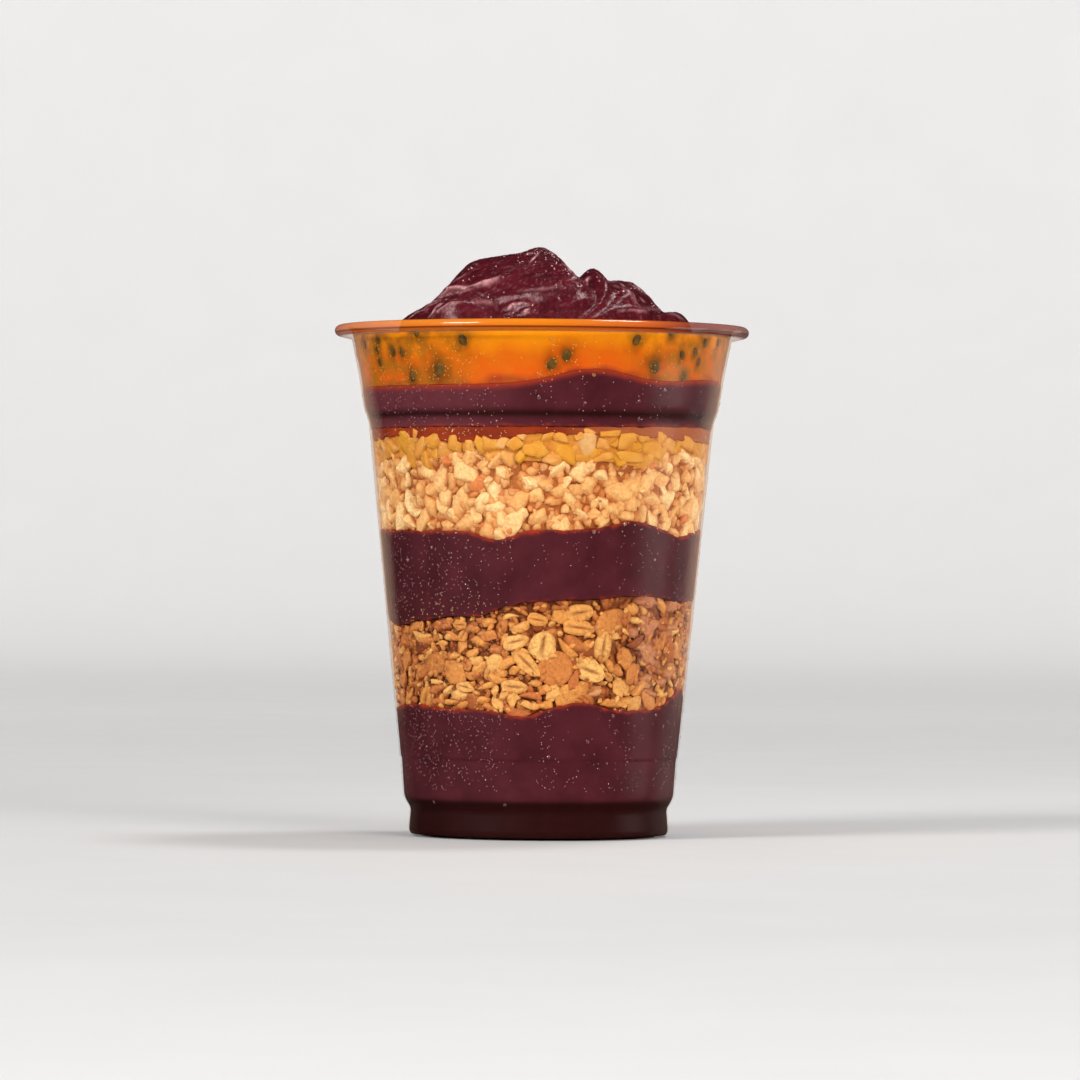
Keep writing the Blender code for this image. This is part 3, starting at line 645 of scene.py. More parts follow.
def mound_acai():
    """Frozen acai. tint: red is how pale pink it is painted: frothy streaks the spoon has drawn out, and
    painted highlight along the ridges.
    """
    made = Nodes("acai_mound_flesh")
    red = made.tint()[0]
    cloudy = made.span(made.blobs(3.5, 5.0), 0.32, 0.7)
    flesh = made.mix(cloudy, srgb(62, 10, 19), srgb(92, 21, 32))
    icy = made.span(made.blobs(0.45, 3.0, 0.7), 0.62, 0.8)
    frosted = made.mix(icy, flesh, srgb(128, 48, 58))
    # Painted highlight and frothy streaks: the tint mixes in pale pink
    made.set(Base_Color=made.mix(red, frosted, srgb(206, 146, 148)),
             Roughness=made.span(made.blobs(1.6), 0.3, 0.7, 0.2, 0.36), Specular_IOR_Level=0.6,
             Specular_Tint=(1.0, 0.7, 0.7, 1.0))
    made.bump(made.blobs(0.7, 6.0, 0.65), 0.2, 0.6)
    return made.material


def pulp_flesh():
    """Passion fruit pulp. tint: red is how near a seed is, green the height, blue how olive it is."""
    made = Nodes("passion_pulp")
    red, green, blue = made.tint()[:3]
    by_height = made.ramp(green, [(0.0, srgb(152, 50, 28)), (0.13, srgb(208, 84, 14)),
                                  (0.5, srgb(203, 91, 9)), (1.0, srgb(233, 140, 4))])
    cloudy = made.span(made.blobs(5.0, 4.0), 0.35, 0.7)
    flesh = made.mix(cloudy, by_height, made.mix(0.3, by_height, srgb(196, 120, 20)))
    olive = made.mix(blue, flesh, srgb(164, 96, 18))
    wet = made.by_height(PULP_TOP[0] - 0.15, PULP_TOP[0] - 0.05, 0.05, 0.5)
    made.set(Base_Color=made.mix(red, olive, srgb(62, 40, 10)), Roughness=0.3, Specular_IOR_Level=wet)
    made.bump(made.blobs(2.5), 0.25, 0.5)
    return made.material


def sauce_flesh():
    made = Nodes("fruit_sauce_glaze")
    red = made.tint()[0]
    cloudy = made.span(made.blobs(6.0), 0.35, 0.7)
    glaze = made.mix(cloudy, srgb(128, 44, 22), srgb(156, 58, 26))
    made.set(Base_Color=made.mix(red, glaze, srgb(166, 92, 54)), Roughness=0.5, Specular_IOR_Level=0.05)
    made.bump(made.blobs(3.0), 0.1, 0.4)
    return made.material


def toasted(name, stops, fleck_and_shade, gloss):
    """Nuts, oats and crumbs. tint: red is the tone, green how dark: painted shade deep between the pieces and
    in oat creases, and toasted patches on flakes; blue how pink with acai.
    """
    made = Nodes(name)
    red, green, blue = made.tint()[:3]
    body = made.mix(blue, made.ramp(red, stops), srgb(198, 134, 96))
    fine = made.span(made.blobs(0.8, 4.0, 0.6), 0.42, 0.72)
    flecked = made.mix(fine, body, made.mix(0.5, body, fleck_and_shade))
    # Painted shade: green darkens the colour towards the toasted brown
    made.set(Base_Color=made.mix(green, flecked, fleck_and_shade), Roughness=gloss, Specular_IOR_Level=0.25)
    made.bump(made.blobs(0.7, 4.0), 0.18, 0.7)
    return made.material


def mango_flesh():
    made = Nodes("mango_flesh")
    red = made.tint()[0]
    body = made.ramp(red, [(0.0, srgb(224, 186, 128)), (0.35, srgb(222, 158, 82)), (0.7, srgb(214, 148, 56)),
                           (1.0, srgb(218, 154, 44))])
    fibres = made.span(made.blobs(1.8, 4.0), 0.4, 0.7)
    made.set(Base_Color=made.mix(fibres, body, made.mix(0.5, body, srgb(206, 120, 30))), Roughness=0.4,
             Specular_IOR_Level=0.2)
    made.bump(made.blobs(1.2), 0.12, 0.5)
    return made.material


def plain(name, first, second, size_mm, roughness):
    """A surface that varies between two colours in blobs of a size."""
    made = Nodes(name)
    made.set(Base_Color=made.mix(made.span(made.blobs(size_mm), 0.35, 0.65), first, second),
             Roughness=roughness, Specular_IOR_Level=0.2)
    made.bump(made.blobs(size_mm / 2.0), size_mm * 0.04, 0.5)
    return made.material


# The cup

def make_cup():
    """The clear cup, turned from a closed outline."""
    bead = arc((RIM_RADIUS - RIM_BEAD, CUP_HEIGHT - RIM_BEAD), RIM_BEAD, -85, 90, 12)
    foot = [(0.0, RAISED_HEIGHT), (RAISED_RADIUS, RAISED_HEIGHT), (FOOT_RING_INNER, 0.0)]
    under = rounded(foot + [(FOOT_RING_OUTER, 0.0)], 1.0, 4)[:-1]
    lip = rounded([bead[-1], RIM_TOP_INNER, RIM_MOUTH, (WALL_CORNERS[-1][0] - WALL, WALL_CORNERS[-1][1]),
                   (WALL_CORNERS[-2][0] - WALL, WALL_CORNERS[-2][1])], 0.7, 4)[1:-1]
    inside = [(r - WALL, z) for r, z in WALL_CURVE[::-1].tolist() if z > 0.9 and z < 117.0]
    floor = rounded([(FOOT_RING_OUTER, WALL + 0.2), (FOOT_RING_INNER + 0.3, WALL),
                     (RAISED_RADIUS + 0.2, RAISED_HEIGHT + WALL), (0.0, RAISED_HEIGHT + WALL)], 0.8, 4)
    outline = under + WALL_CURVE.tolist() + bead + lip + inside + floor
    return turned("cup_wall", outline[::-1], CUP_STEPS, clear_wall(), "cup", "clear_plastic")


# Layers of acai, sauce and pulp

def uneven_edge(boundary, azimuth, seed):
    """A boundary's height at the wall, with the small wander that pressed food has."""
    edge = boundary_height(boundary, azimuth, 1.0)
    ring = on_wall(azimuth, edge, wall_radius(edge))
    return edge + 0.45 * grain(ring, 2.6, seed) + 0.25 * grain(ring, 1.0, seed + 1.0)


def inner_rings(boundary, azimuth, shares):
    """Rings over a layer's top or under its bottom, at shares of the way from the axis to the wall."""
    rings = []
    for share in shares:
        height = boundary_height(boundary, azimuth, share)
        rings.append(on_wall(azimuth, height, share * (wall_radius(height) - PRESSED)))
    return rings


def side_rings(azimuth, top_edge, low_edge, rows, inset, eased):
    """Rings down the wall from one edge to another. They stand back a little more at the eased ends."""
    rings = []
    for t in np.linspace(0.0, 1.0, rows):
        height = top_edge + (low_edge - top_edge) * t
        rings.append(on_wall(azimuth, height, wall_radius(height) - (inset + EASED_EDGE * (t in eased))))
    return rings


def fill_layer(name, low, high, steps, rows, material, node, slot, colour, wander=True, seed=1.0,
               depth=0.0):
    """A layer pressed against the wall between two boundaries. colour gives each point's tint."""
    azimuth = np.arange(steps) * 360.0 / steps
    if wander:
        top_edge, low_edge = uneven_edge(high, azimuth, seed), uneven_edge(low, azimuth, seed + 3.0)
    else:
        top_edge, low_edge = boundary_height(high, azimuth, 1.0), boundary_height(low, azimuth, 1.0)
    top_shares = INNER_SHARES if wander else np.linspace(0.1, 0.985, 40).tolist()
    rings = inner_rings(high, azimuth, top_shares)
    rings += side_rings(azimuth, top_edge, low_edge, rows, PRESSED + depth, (0.0, 1.0))
    rings += inner_rings(low, azimuth, INNER_SHARES[::-1])
    points = capped(high[0], rings, low[0])
    return add_piece(name, points, ring_faces(len(rings), steps), material, node, slot,
                     tint=colour(points))


def make_foot_fill(material, steps=300, rows=90):
    """The lowest acai, which also fills the foot round the cup's raised bottom."""
    azimuth = np.arange(steps) * 360.0 / steps
    top_edge = uneven_edge(ACAI_BOTTOM_TOP, azimuth, 9.0)
    rings = inner_rings(ACAI_BOTTOM_TOP, azimuth, INNER_SHARES)
    rings += side_rings(azimuth, top_edge, FOOT_FILL_LOWEST, rows, PRESSED, (0.0,))
    raised = RAISED_HEIGHT + FOOT_FILL_FLOOR
    for radius, height in ((FOOT_RING_OUTER - 0.3, FOOT_FILL_FLOOR), (FOOT_RING_INNER + 0.5, FOOT_FILL_FLOOR),
                           (RAISED_RADIUS + 0.4, raised), (12.0, raised)):
        rings.append(on_wall(azimuth, np.full(steps, height), np.full(steps, radius)))
    points = capped(ACAI_BOTTOM_TOP[0], rings, raised)
    colour = acai_tint(above=ACAI_BOTTOM_TOP, foot=True)
    add_piece("acai_bottom_layer", points, ring_faces(len(rings), steps), material, "acai_bottom", "acai",
              tint=colour(points))


def azimuths(points):
    return np.degrees(np.arctan2(points[:, 0], -points[:, 1]))


def tint_rows(red, green=0.0, blue=0.0):
    """The three numbers that a piece carries for each point, between 0 and 1."""
    red = np.asarray(red, dtype=float)
    rows = np.ones((len(red), 4))
    rows[:, 0] = red
    rows[:, 1] = green
    rows[:, 2] = blue
    return np.clip(rows, 0.0, 1.0)


def acai_tint(above=None, below=None, ledge=False, foot=False):
    """Juice bleeds into the acai next to a fruit boundary; it is darker in the foot, and at the ledge painted
    shade darkens it and painted reflection pales its left.
    """
    def colour(points):
        azimuth, height = azimuths(points), points[:, 2]
        uneven = 0.6 * grain(points, 2.2, 3.0) + 0.4 * grain(points, 0.8, 4.0)
        red = np.zeros(len(points))
        if above is not None:
            depth = boundary_height(above, azimuth, 1.0) - height
            if ledge:
                red = np.maximum(red, 0.95 - 0.95 * smoothstep(-0.3, 1.7, depth + 0.4 * uneven))
            else:
                red = np.maximum(red, 0.95 - 0.95 * smoothstep(-0.4, 1.0, depth + 1.2 * uneven))
        if below is not None:
            depth = height - boundary_height(below, azimuth, 1.0)
            red = np.maximum(red, 0.5 * (1.0 - smoothstep(-0.5, 0.8, depth + 1.4 * uneven)))
        dark, milky = np.zeros(len(points)), np.zeros(len(points))
        if ledge:
            # Painted shade: a dark band along the ledge
            dark = 0.85 * bell(height, LEDGE_SHADE)
            # Painted reflection: the left of the upper acai is paled
            milky = smoothstep(*PAINTED_HAZE_LEFT, azimuth) * smoothstep(*BACK_FADE, -azimuth)
            milky = milky * (0.8 + 0.3 * uneven)
        if foot:
            dark = 0.85 * (1.0 - smoothstep(*FOOT_DARKENS, height)) + 0.15 * bell(height, FOOT_LINE)
        return tint_rows(red, dark, milky)
    return colour


def make_acai_layers():
    flesh = pressed_acai()
    make_foot_fill(flesh)
    fill_layer("acai_middle_layer", GRANOLA_TOP, ACAI_MIDDLE_TOP, 400, 44, flesh,
               "acai_middle", "acai", acai_tint(above=ACAI_MIDDLE_TOP, below=GRANOLA_TOP), seed=11.0)
    fill_layer("acai_upper_layer", SAUCE_TOP, ACAI_UPPER_TOP, 300, 44, flesh, "acai_upper", "acai",
               acai_tint(above=ACAI_UPPER_TOP, below=SAUCE_TOP, ledge=True), wander=False)


def all_seeds():
    """Azimuth, height and size of every seed."""
    return [(*seen_on_wall(px, py), size) for px, py, size in SEEDS_IN_FRONT] + SEEDS_BEHIND


def make_pulp(seeds):
    def colour(points):
        azimuth, height = azimuths(points), points[:, 2]
        near = np.zeros(len(points))
        wobble = 1.0 + 0.35 * grain(points, 1.6, 5.0)
        for centre, level, size in seeds:
            across = ((azimuth - centre + 180.0) % 360.0 - 180.0) * 0.75
            reach = np.hypot(across / (1.7 * size), (height - level) / (2.0 * size)) * wobble
            near = np.maximum(near, (0.5 + 0.3 * size / 1.7) * np.exp(-reach ** 2.0))
        at_wall = smoothstep(4.0, 1.0, wall_radius(height) - np.hypot(points[:, 0], points[:, 1]))
        near = near * at_wall
        side = smoothstep(16.0, 46.0, np.abs(azimuth - 3.0)) * at_wall + 0.5 * (1.0 - at_wall)
        olive = side * (0.6 + 1.1 * grain(points, 3.0, 8.0) + 0.5 * grain(points, 1.2, 13.0))
        floor = boundary_height(ACAI_UPPER_TOP, azimuth, 1.0)
        level = (height - floor) / (PULP_TOP[0] - floor) + 0.16 * grain(points, 5.0, 9.0)
        return tint_rows(near, level, olive)
    fill_layer("pulp_layer", ACAI_UPPER_TOP, PULP_TOP, 720, 46, pulp_flesh(), "passion_fruit_pulp",
               "passion_fruit_pulp", colour, wander=False, depth=0.16)


def make_sauce():
    def colour(points):
        azimuth = azimuths(points)
        right = smoothstep(*PALE_RIGHT, azimuth) * smoothstep(*BACK_FADE, azimuth)
        return tint_rows(right * (0.85 + 0.3 * grain(points, 3.0, 6.0)))
    fill_layer("sauce_layer", (MANGO_TOP[0] - 0.4, MANGO_TOP[1]), SAUCE_TOP, 300, 12, sauce_flesh(),
               "fruit_sauce", "sauce", colour, seed=21.0, depth=0.3)


def seeds_on_top(draw):
    """Seeds half sunk in the pulp between the mound and the rim."""
    placed = []
    for turn in range(0, 360, SURFACE_SEED_TURN):
        angle = math.radians(turn + draw.uniform(-7, 7))
        reach = draw.uniform(*SURFACE_SEED_REACH)
        ball = icosphere(3)[0] * np.array([1.0, 1.6, 0.8]) * draw.uniform(0.75, 1.0)
        ball = ball @ turn_matrix(draw.uniform(0, 180)).T
        placed.append(ball + np.array([reach * math.sin(angle), -reach * math.cos(angle), PULP_TOP[0] - 0.1]))
    return placed


def make_seeds(seeds):
    """Seeds sunk in the pulp, the nearest just touching the wall."""
    draw = random.Random(SEED)
    ball, faces = icosphere(3)
    placed = []
    for azimuth, height, size in seeds:
        seed = ball * np.array([1.04, 1.4, 0.5]) * size
        seed = seed @ turn_matrix(draw.uniform(-40, 40)).T
        placed.append(map_to_wall(seed, azimuth, height, 0.0 if size >= 1.1 else 0.05, press=0.1))
    placed += seeds_on_top(draw)
    made = plain("seed_skin", srgb(70, 50, 18), srgb(108, 76, 26), 1.6, 0.4)
    add_piece("pulp_seeds", *repeated(placed, faces), made, "passion_fruit_pulp", "passion_fruit_pulp")


# Loose pieces

def icosphere(level):
    mesh = bmesh.new()
    bmesh.ops.create_icosphere(mesh, subdivisions=level, radius=1.0)
    mesh.verts.ensure_lookup_table()
    points = np.array([vertex.co[:] for vertex in mesh.verts])
    faces = np.array([[vertex.index for vertex in face.verts] for face in mesh.faces])
    mesh.free()
    return points, faces


def turn_matrix(degrees):
    """A turn in the plane of the wall."""
    a = math.radians(degrees)
    return np.array([[math.cos(a), -math.sin(a), 0.0], [math.sin(a), math.cos(a), 0.0], [0.0, 0.0, 1.0]])


def map_to_wall(points, azimuth, height, depth, press=0.0):
    """Bends a piece laid flat in (along, up, out) on to the wall, its outermost point at depth."""
    z = height + points[:, 1]
    inside = wall_radius(z) - PRESSED
    out = points[:, 2] - points[:, 2].max() - depth + press
    radius = np.minimum(inside + out, inside)
    middle = float(wall_radius(height)) - PRESSED - depth
    return on_wall(azimuth + np.degrees(points[:, 0] / middle), z, radius)


def rough_values(points, draw, size):
    shift = Vector([draw.uniform(-50, 50) for _ in range(3)])
    return np.array([noise.noise(Vector(p) / size + shift) for p in points.tolist()])


def rough_up(points, draw, amount, size):
    return points * (1.0 + amount * rough_values(points, draw, size)[:, None])


def cut_flat(points, draw, cuts, low, high, upright=False):
    """Presses a ball flat against random planes, which gives it cut faces."""
    for _ in range(cuts):
        way = np.array([draw.gauss(0, 1), draw.gauss(0, 1), 0.0 if upright else draw.gauss(0, 1)])
        way = way / np.linalg.norm(way)
        over = points @ way - draw.uniform(low, high)
        points = points - np.outer(np.maximum(over, 0.0), way)
    return points


# Each shape takes a ball of radius 1 and gives its points, laid flat, and how dark each point is: painted
# shade in an oat's crease, toasted patches on a flake

def nut_shape(draw, ball, length, width):
    ball = cut_flat(ball, draw, 7, 0.45, 0.8)
    ball = rough_up(ball, draw, 0.22, 0.9)
    return ball * np.array([length, width, min(length, width) * 0.85]) / 1.32, 0.0


def oat_shape(draw, ball, length, width):
    ball = rough_up(ball, draw, 0.16, 0.8)
    thick = max(0.9, 0.34 * width)
    u, v, w = ball[:, 0], ball[:, 1], ball[:, 2]
    line = np.exp(-(v / 0.15) ** 2) * np.clip(1.0 - (u / 0.85) ** 2, 0.0, 1.0) * (w > 0)
    w = np.sign(w) * np.abs(w) ** 0.75 - 0.6 * line
    shape = np.stack([u * length / 2, v * width / 2 * (1.0 - 0.18 * u), w * thick / 2], axis=1)
    # The crease is painted darker, as shade
    return shape, 0.8 * line


def sliver_shape(draw, ball, length, width):
    ball = rough_up(ball, draw, 0.3, 0.9)
    u = ball[:, 0]
    taper = 1.0 - 0.35 * u * draw.choice((-1, 1))
    bend = 0.12 * length * u * u * draw.uniform(-1, 1)
    return np.stack([u * length / 2, ball[:, 1] * width / 2 * taper + bend,
                     ball[:, 2] * min(width, 1.9) / 2 * taper], axis=1), 0.0


def flake_shape(draw, ball, length, width):
    ball = cut_flat(ball, draw, 6, 0.55, 0.85, upright=True)
    ball = rough_up(ball, draw, 0.2, 0.5)
    curl = 0.12 * width * ball[:, 0] * ball[:, 1] * draw.uniform(-1, 1)
    w = np.sign(ball[:, 2]) * np.abs(ball[:, 2]) ** 0.6 * 0.55
    shape = np.stack([ball[:, 0] * length / 1.75, ball[:, 1] * width / 1.75, w + curl], axis=1)
    return shape, 0.25 * np.clip(rough_values(ball, draw, 0.5), 0.0, 1.0)


def puck_shape(draw, ball, length, width):
    ball = rough_up(ball, draw, 0.08, 0.7)
    reach = np.hypot(ball[:, 0], ball[:, 1])
    flat = np.sign(ball[:, 2]) * np.abs(ball[:, 2]) ** 0.45 * 0.95
    flat = flat + 0.16 * smoothstep(0.6, 0.85, reach) * (ball[:, 2] > 0)
    flat = flat + 0.12 * rough_values(ball, draw, 0.22)
    return np.stack([ball[:, 0] * length / 2, ball[:, 1] * width / 2, flat], axis=1), 0.0


def cluster_shape(draw, ball, length, width):
    ball = rough_up(ball, draw, 0.5, 0.75)
    ball = rough_up(ball, draw, 0.35, 0.33)
    return ball * np.array([length, width, min(length, width, 4.0) * 0.7]) / 2, 0.0


def almond_shape(draw, ball, length, width):
    u = ball[:, 0]
    point = np.clip(1.0 - np.abs(u) ** 2.5, 0.0, 1.0) ** 0.35
    bow = 0.16 * length * (u * u - 0.4)
    return np.stack([u * length / 2, ball[:, 1] * width / 2 * point + bow, ball[:, 2] * 0.6], axis=1), 0.0


def die_shape(draw, ball, length, width):
    """A cut cube with softened edges."""
    cube = ball / np.abs(ball).max(axis=1, keepdims=True)
    soft = 0.86 * cube + 0.14 * ball
    soft = cut_flat(soft, draw, 3, 0.75, 1.1)
    soft = rough_up(soft, draw, 0.12, 0.9)
    lean = np.array([[1, draw.uniform(-0.4, 0.4), 0], [draw.uniform(-0.3, 0.3), 1, 0], [0, 0, 1]])
    return (soft @ lean) * np.array([length, width, min(length, width) * 0.8]) / 2, 0.0


SHAPES = {OAT: oat_shape, SLIVER: sliver_shape, FLAKE: flake_shape, CLUSTER: cluster_shape,
          CHIP: nut_shape, PUCK: puck_shape, ALMOND: almond_shape}


class Heap:
    """Collects many small pieces into one mesh."""

    def __init__(self, seed, shaded=(0.25, 1.5)):
        self.draw = random.Random(seed)
        self.shaded = shaded
        self.points, self.faces, self.tints = [], [], []
        self.count = 0

    def add(self, shape, azimuth, height, length, width, turn, tone, depth=0.0, level=3, tumble=0.0,
            pink=0.0):
        ball, faces = icosphere(level)
        points, dark = shape(self.draw, ball, length, width)
        if tumble:
            pitch = Matrix.Rotation(self.draw.uniform(-tumble, tumble), 3, "X")
            yaw = Matrix.Rotation(self.draw.uniform(-tumble, tumble), 3, "Y")
            points = points @ np.array(pitch @ yaw).T
        points = points @ turn_matrix(turn).T
        placed = map_to_wall(points, azimuth, height, depth, press=0.12)
        self.faces.append(faces + self.count)
        self.points.append(placed)
        self.count += len(placed)
        # Painted shade: the deeper a point lies behind the wall, the darker it is painted
        below = wall_radius(placed[:, 2]) - PRESSED - np.hypot(placed[:, 0], placed[:, 1])
        shade_and_toast = np.maximum(smoothstep(*self.shaded, below), dark)
        self.tints.append(tint_rows(np.full(len(placed), tone), shade_and_toast, pink))

    def strew(self, band, rounds, taken, choose, margin, depths, **settings):
        """Fills a band between two boundaries with pieces whose looks choose() makes up."""
        for spacing, count in rounds:
            for azimuth, height in scatter(self.draw, *band, spacing, count, taken, margin):
                shape, length, width, turn, tone = choose(self.draw, spacing)
                self.add(shape, azimuth, height, length, width, turn, tone,
                         depth=self.draw.uniform(*depths), **settings)

    def build(self, name, material, node, slot):
        """Makes one piece of all that was added."""
        return add_piece(name, np.concatenate(self.points), np.concatenate(self.faces), material, node,
                         slot, tint=np.concatenate(self.tints))


def scatter(draw, low, high, spacing, count, taken, margin=0.0):
    """Places round the wall between two boundaries, each clear of the others, as (azimuth, height)."""
    places = []
    for _ in range(count * 14):
        azimuth = draw.uniform(-180, 180)
        bottom = float(boundary_height(low, azimuth, 1.0)) + margin
        top = float(boundary_height(high, azimuth, 1.0)) - margin
        height = draw.uniform(bottom, top)
        radius = float(wall_radius(height))
        clear = True
        for other, level, reach in taken:
            across = math.radians((azimuth - other + 180.0) % 360.0 - 180.0) * radius
            if math.hypot(across, height - level) < spacing * 0.5 + reach:
                clear = False
                break
        if clear:
            places.append((azimuth, height))
            taken.append((azimuth, height, spacing * 0.5))
            if len(places) >= count:
                break
    return places


def bumpy_core(name, low, high, material, node, slot, inset, bump, size, rows=50, steps=420):
    """The bare core behind a heap, rough at the scale of its crumbs."""
    azimuth = np.arange(steps) * 360.0 / steps
    top_edge = boundary_height(high, azimuth, 1.0)
    low_edge = boundary_height(low, azimuth, 1.0)
    rings = [on_wall(azimuth, top_edge, 0.5 * (wall_radius(top_edge) - inset))]
    for t in np.linspace(0.0, 1.0, rows):
        height = top_edge + (low_edge - top_edge) * t
        ring = on_wall(azimuth, height, wall_radius(height) - inset)
        push = bump * (grain(ring, size, 1.0) + 0.5 * grain(ring, size * 0.45, 5.0))
        rings.append(on_wall(azimuth, height, wall_radius(height) - inset + push))
    rings.append(on_wall(azimuth, low_edge, 0.5 * (wall_radius(low_edge) - inset)))
    points = capped(high[0], rings, low[0])
    add_piece(name, points, ring_faces(len(rings), steps), material, node, slot)


def granola_choice(draw, largest, fits, tones):
    """Makes up the shape, length, width, turn and tone of a piece of granola."""
    kind, length, width = GRANOLA_KINDS[draw.randrange(len(GRANOLA_KINDS))]
    fit = largest * draw.uniform(*fits)
    return SHAPES[kind], length * fit, width * fit, draw.uniform(0, 180), draw.uniform(*tones)


def outer_granola(draw, spacing):
    return granola_choice(draw, min(1.25, spacing / 4.4), (0.9, 1.25), (0.25, 0.9))


def inner_granola(draw, spacing):
    # Pieces behind get darker tones, as painted shade
    return granola_choice(draw, 1.0, (0.6, 0.9), (0.1, 0.6))


def crumb(draw, spacing):
    size = draw.uniform(0.5, 1.4)
    return nut_shape, size * 1.4, size, draw.uniform(0, 180), draw.uniform(0.2, 0.85)


def make_granola():
    """Granola: the pieces of the photo, others round the cup, smaller ones behind, and crumbs."""
    tones = [(0.0, srgb(120, 58, 32)), (0.35, srgb(196, 112, 56)), (0.6, srgb(226, 152, 74)),
             (1.0, srgb(246, 194, 112))]
    oats = toasted("granola_pieces", tones, srgb(128, 56, 20), 0.45)
    band = (ACAI_BOTTOM_TOP, GRANOLA_TOP)
    heap = Heap(SEED + 1)
    taken = []
    for px, py, length, width, turn, kind, tone in GRANOLA_IN_FRONT:
        azimuth, height, length, width, turn = laid_on_wall(px, py, length, width, turn)
        level = 4 if kind in (PUCK, OAT) or length > 7.0 else 3
        heap.add(SHAPES[kind], azimuth, height, length * 1.08, width * 1.08, turn, tone,
                 depth=heap.draw.uniform(0.0, 0.3), level=level, tumble=0.1,
                 pink=0.65 if kind == CLUSTER and azimuth > 20 else 0.0)
        taken.append((azimuth, height, 0.34 * (length + width) * 0.5))
    heap.strew(band, GRANOLA_ROUNDS, taken, outer_granola, margin=0.9, depths=(0.1, 0.7), tumble=0.25)
    heap.build("granola_pieces", oats, "granola", "granola")

    behind = Heap(SEED + 2)
    behind.strew(band, [(2.3, 560)], [], inner_granola, margin=0.7, depths=(0.6, 1.1), level=2, tumble=0.5)
    behind.build("granola_behind", oats, "granola", "granola")

    crumbs = Heap(SEED + 3)
    crumbs.strew(band, [(1.1, 1200)], [], crumb, margin=-0.2, depths=(0.05, 0.9), level=2)
    crumbs.build("granola_crumbs", oats, "granola", "granola")
    # Painted shade: the dark core stands for the shade in the gaps between the pieces
    bare = plain("granola_shaded_depths", srgb(104, 52, 24), srgb(146, 80, 38), 2.0, 0.7)
    bumpy_core("granola_core", *band, bare, "granola", "granola", inset=1.75, bump=0.45, size=1.8)


def outer_nut(draw, spacing):
    length = spacing * draw.uniform(1.2, 1.55)
    tone = 0.05 if draw.random() < 0.03 else draw.uniform(0.3, 1.0)
    return nut_shape, length, length * draw.uniform(0.6, 0.9), draw.uniform(0, 180), tone


def inner_nut(draw, spacing):
    length = draw.uniform(1.6, 3.4)
    # Pieces behind get darker tones, as painted shade
    return nut_shape, length, length * 0.8, draw.uniform(0, 180), draw.uniform(0.1, 0.8)


def make_nuts():
    """Chopped nuts round the cup, and smaller bits behind them."""
    tones = [(0.0, srgb(214, 112, 56)), (0.2, srgb(234, 168, 96)), (0.6, srgb(246, 194, 122)),
             (1.0, srgb(254, 222, 158))]
    peanut = toasted("peanut_pieces", tones, srgb(186, 102, 44), 0.5)
    band = (ACAI_MIDDLE_TOP, NUTS_TOP)
    heap = Heap(SEED + 4, shaded=(0.55, 2.3))
    heap.strew(band, NUT_ROUNDS, [], outer_nut, margin=0.6, depths=(0.0, 0.7), tumble=0.7)
    heap.build("nut_pieces", peanut, "chopped_nuts", "nuts")

    behind = Heap(SEED + 5, shaded=(0.3, 2.0))
    behind.strew(band, [(1.7, 900)], [], inner_nut, margin=0.3, depths=(0.7, 1.3), level=2, tumble=0.6)
    behind.build("nuts_behind", peanut, "chopped_nuts", "nuts")
    # Painted shade: the dark core stands for the shade in the gaps between the pieces
    bare = plain("nut_shaded_depths", srgb(150, 76, 32), srgb(180, 104, 48), 2.0, 0.6)
    bumpy_core("nut_core", *band, bare, "chopped_nuts", "nuts", inset=1.9, bump=0.4, size=2.2)


def die(draw, spacing):
    length = spacing * draw.uniform(1.2, 1.7)
    width = length * draw.uniform(0.5, 0.95)
    return die_shape, length, width, draw.uniform(0, 180), draw.uniform(0.2, 1.0)


def make_mango():
    """Diced mango: the dice of the photo and others round the cup, standing up into the sauce."""
    heap = Heap(SEED + 6)
    taken = []
    for px, py, length, width, turn, tone in MANGO_IN_FRONT:
        azimuth, height, length, width, turn = laid_on_wall(px, py, length, width, turn)
        heap.add(die_shape, azimuth, height, length * 1.05, width * 1.05, turn, tone,
                 depth=heap.draw.uniform(0.0, 0.3), tumble=0.15)
        taken.append((azimuth, height, 1.5))
    standing = (MANGO_TOP[0] + 0.7, MANGO_TOP[1])
    heap.strew((NUTS_TOP, standing), MANGO_ROUNDS, taken, die, margin=0.4, depths=(0.0, 0.7), tumble=0.4)
    heap.build("mango_pieces", mango_flesh(), "mango_dice", "mango")
    core_top = (MANGO_TOP[0] + 0.3, MANGO_TOP[1])
    bare = plain("mango_depths", srgb(206, 128, 44), srgb(224, 156, 62), 2.5, 0.4)
    bumpy_core("mango_core", NUTS_TOP, core_top, bare, "mango_dice", "mango", inset=1.4, bump=0.4, size=2.4,
               rows=16)


# The mound

def skyline_heights(x):
    """The skyline as a smooth curve through its points, for an array of x."""
    table = np.array(MOUND_SKYLINE)
    px, ph = table[:, 0], table[:, 1]
    index = np.clip(np.searchsorted(px, x, side="right") - 1, 0, len(px) - 2)
    before, after = np.maximum(index - 1, 0), np.minimum(index + 2, len(px) - 1)
    x0, x1, h0, h1 = px[index], px[index + 1], ph[index], ph[index + 1]
    t = np.clip((x - x0) / (x1 - x0), 0.0, 1.0)
    slope0 = (h1 - ph[before]) / (x1 - px[before]) * (x1 - x0)
    slope1 = (ph[after] - h0) / (px[after] - x0) * (x1 - x0)
    return (h0 * (1 + 2 * t) * (1 - t) ** 2 + slope0 * t * (1 - t) ** 2
            + h1 * t * t * (3 - 2 * t) + slope1 * t * t * (t - 1))


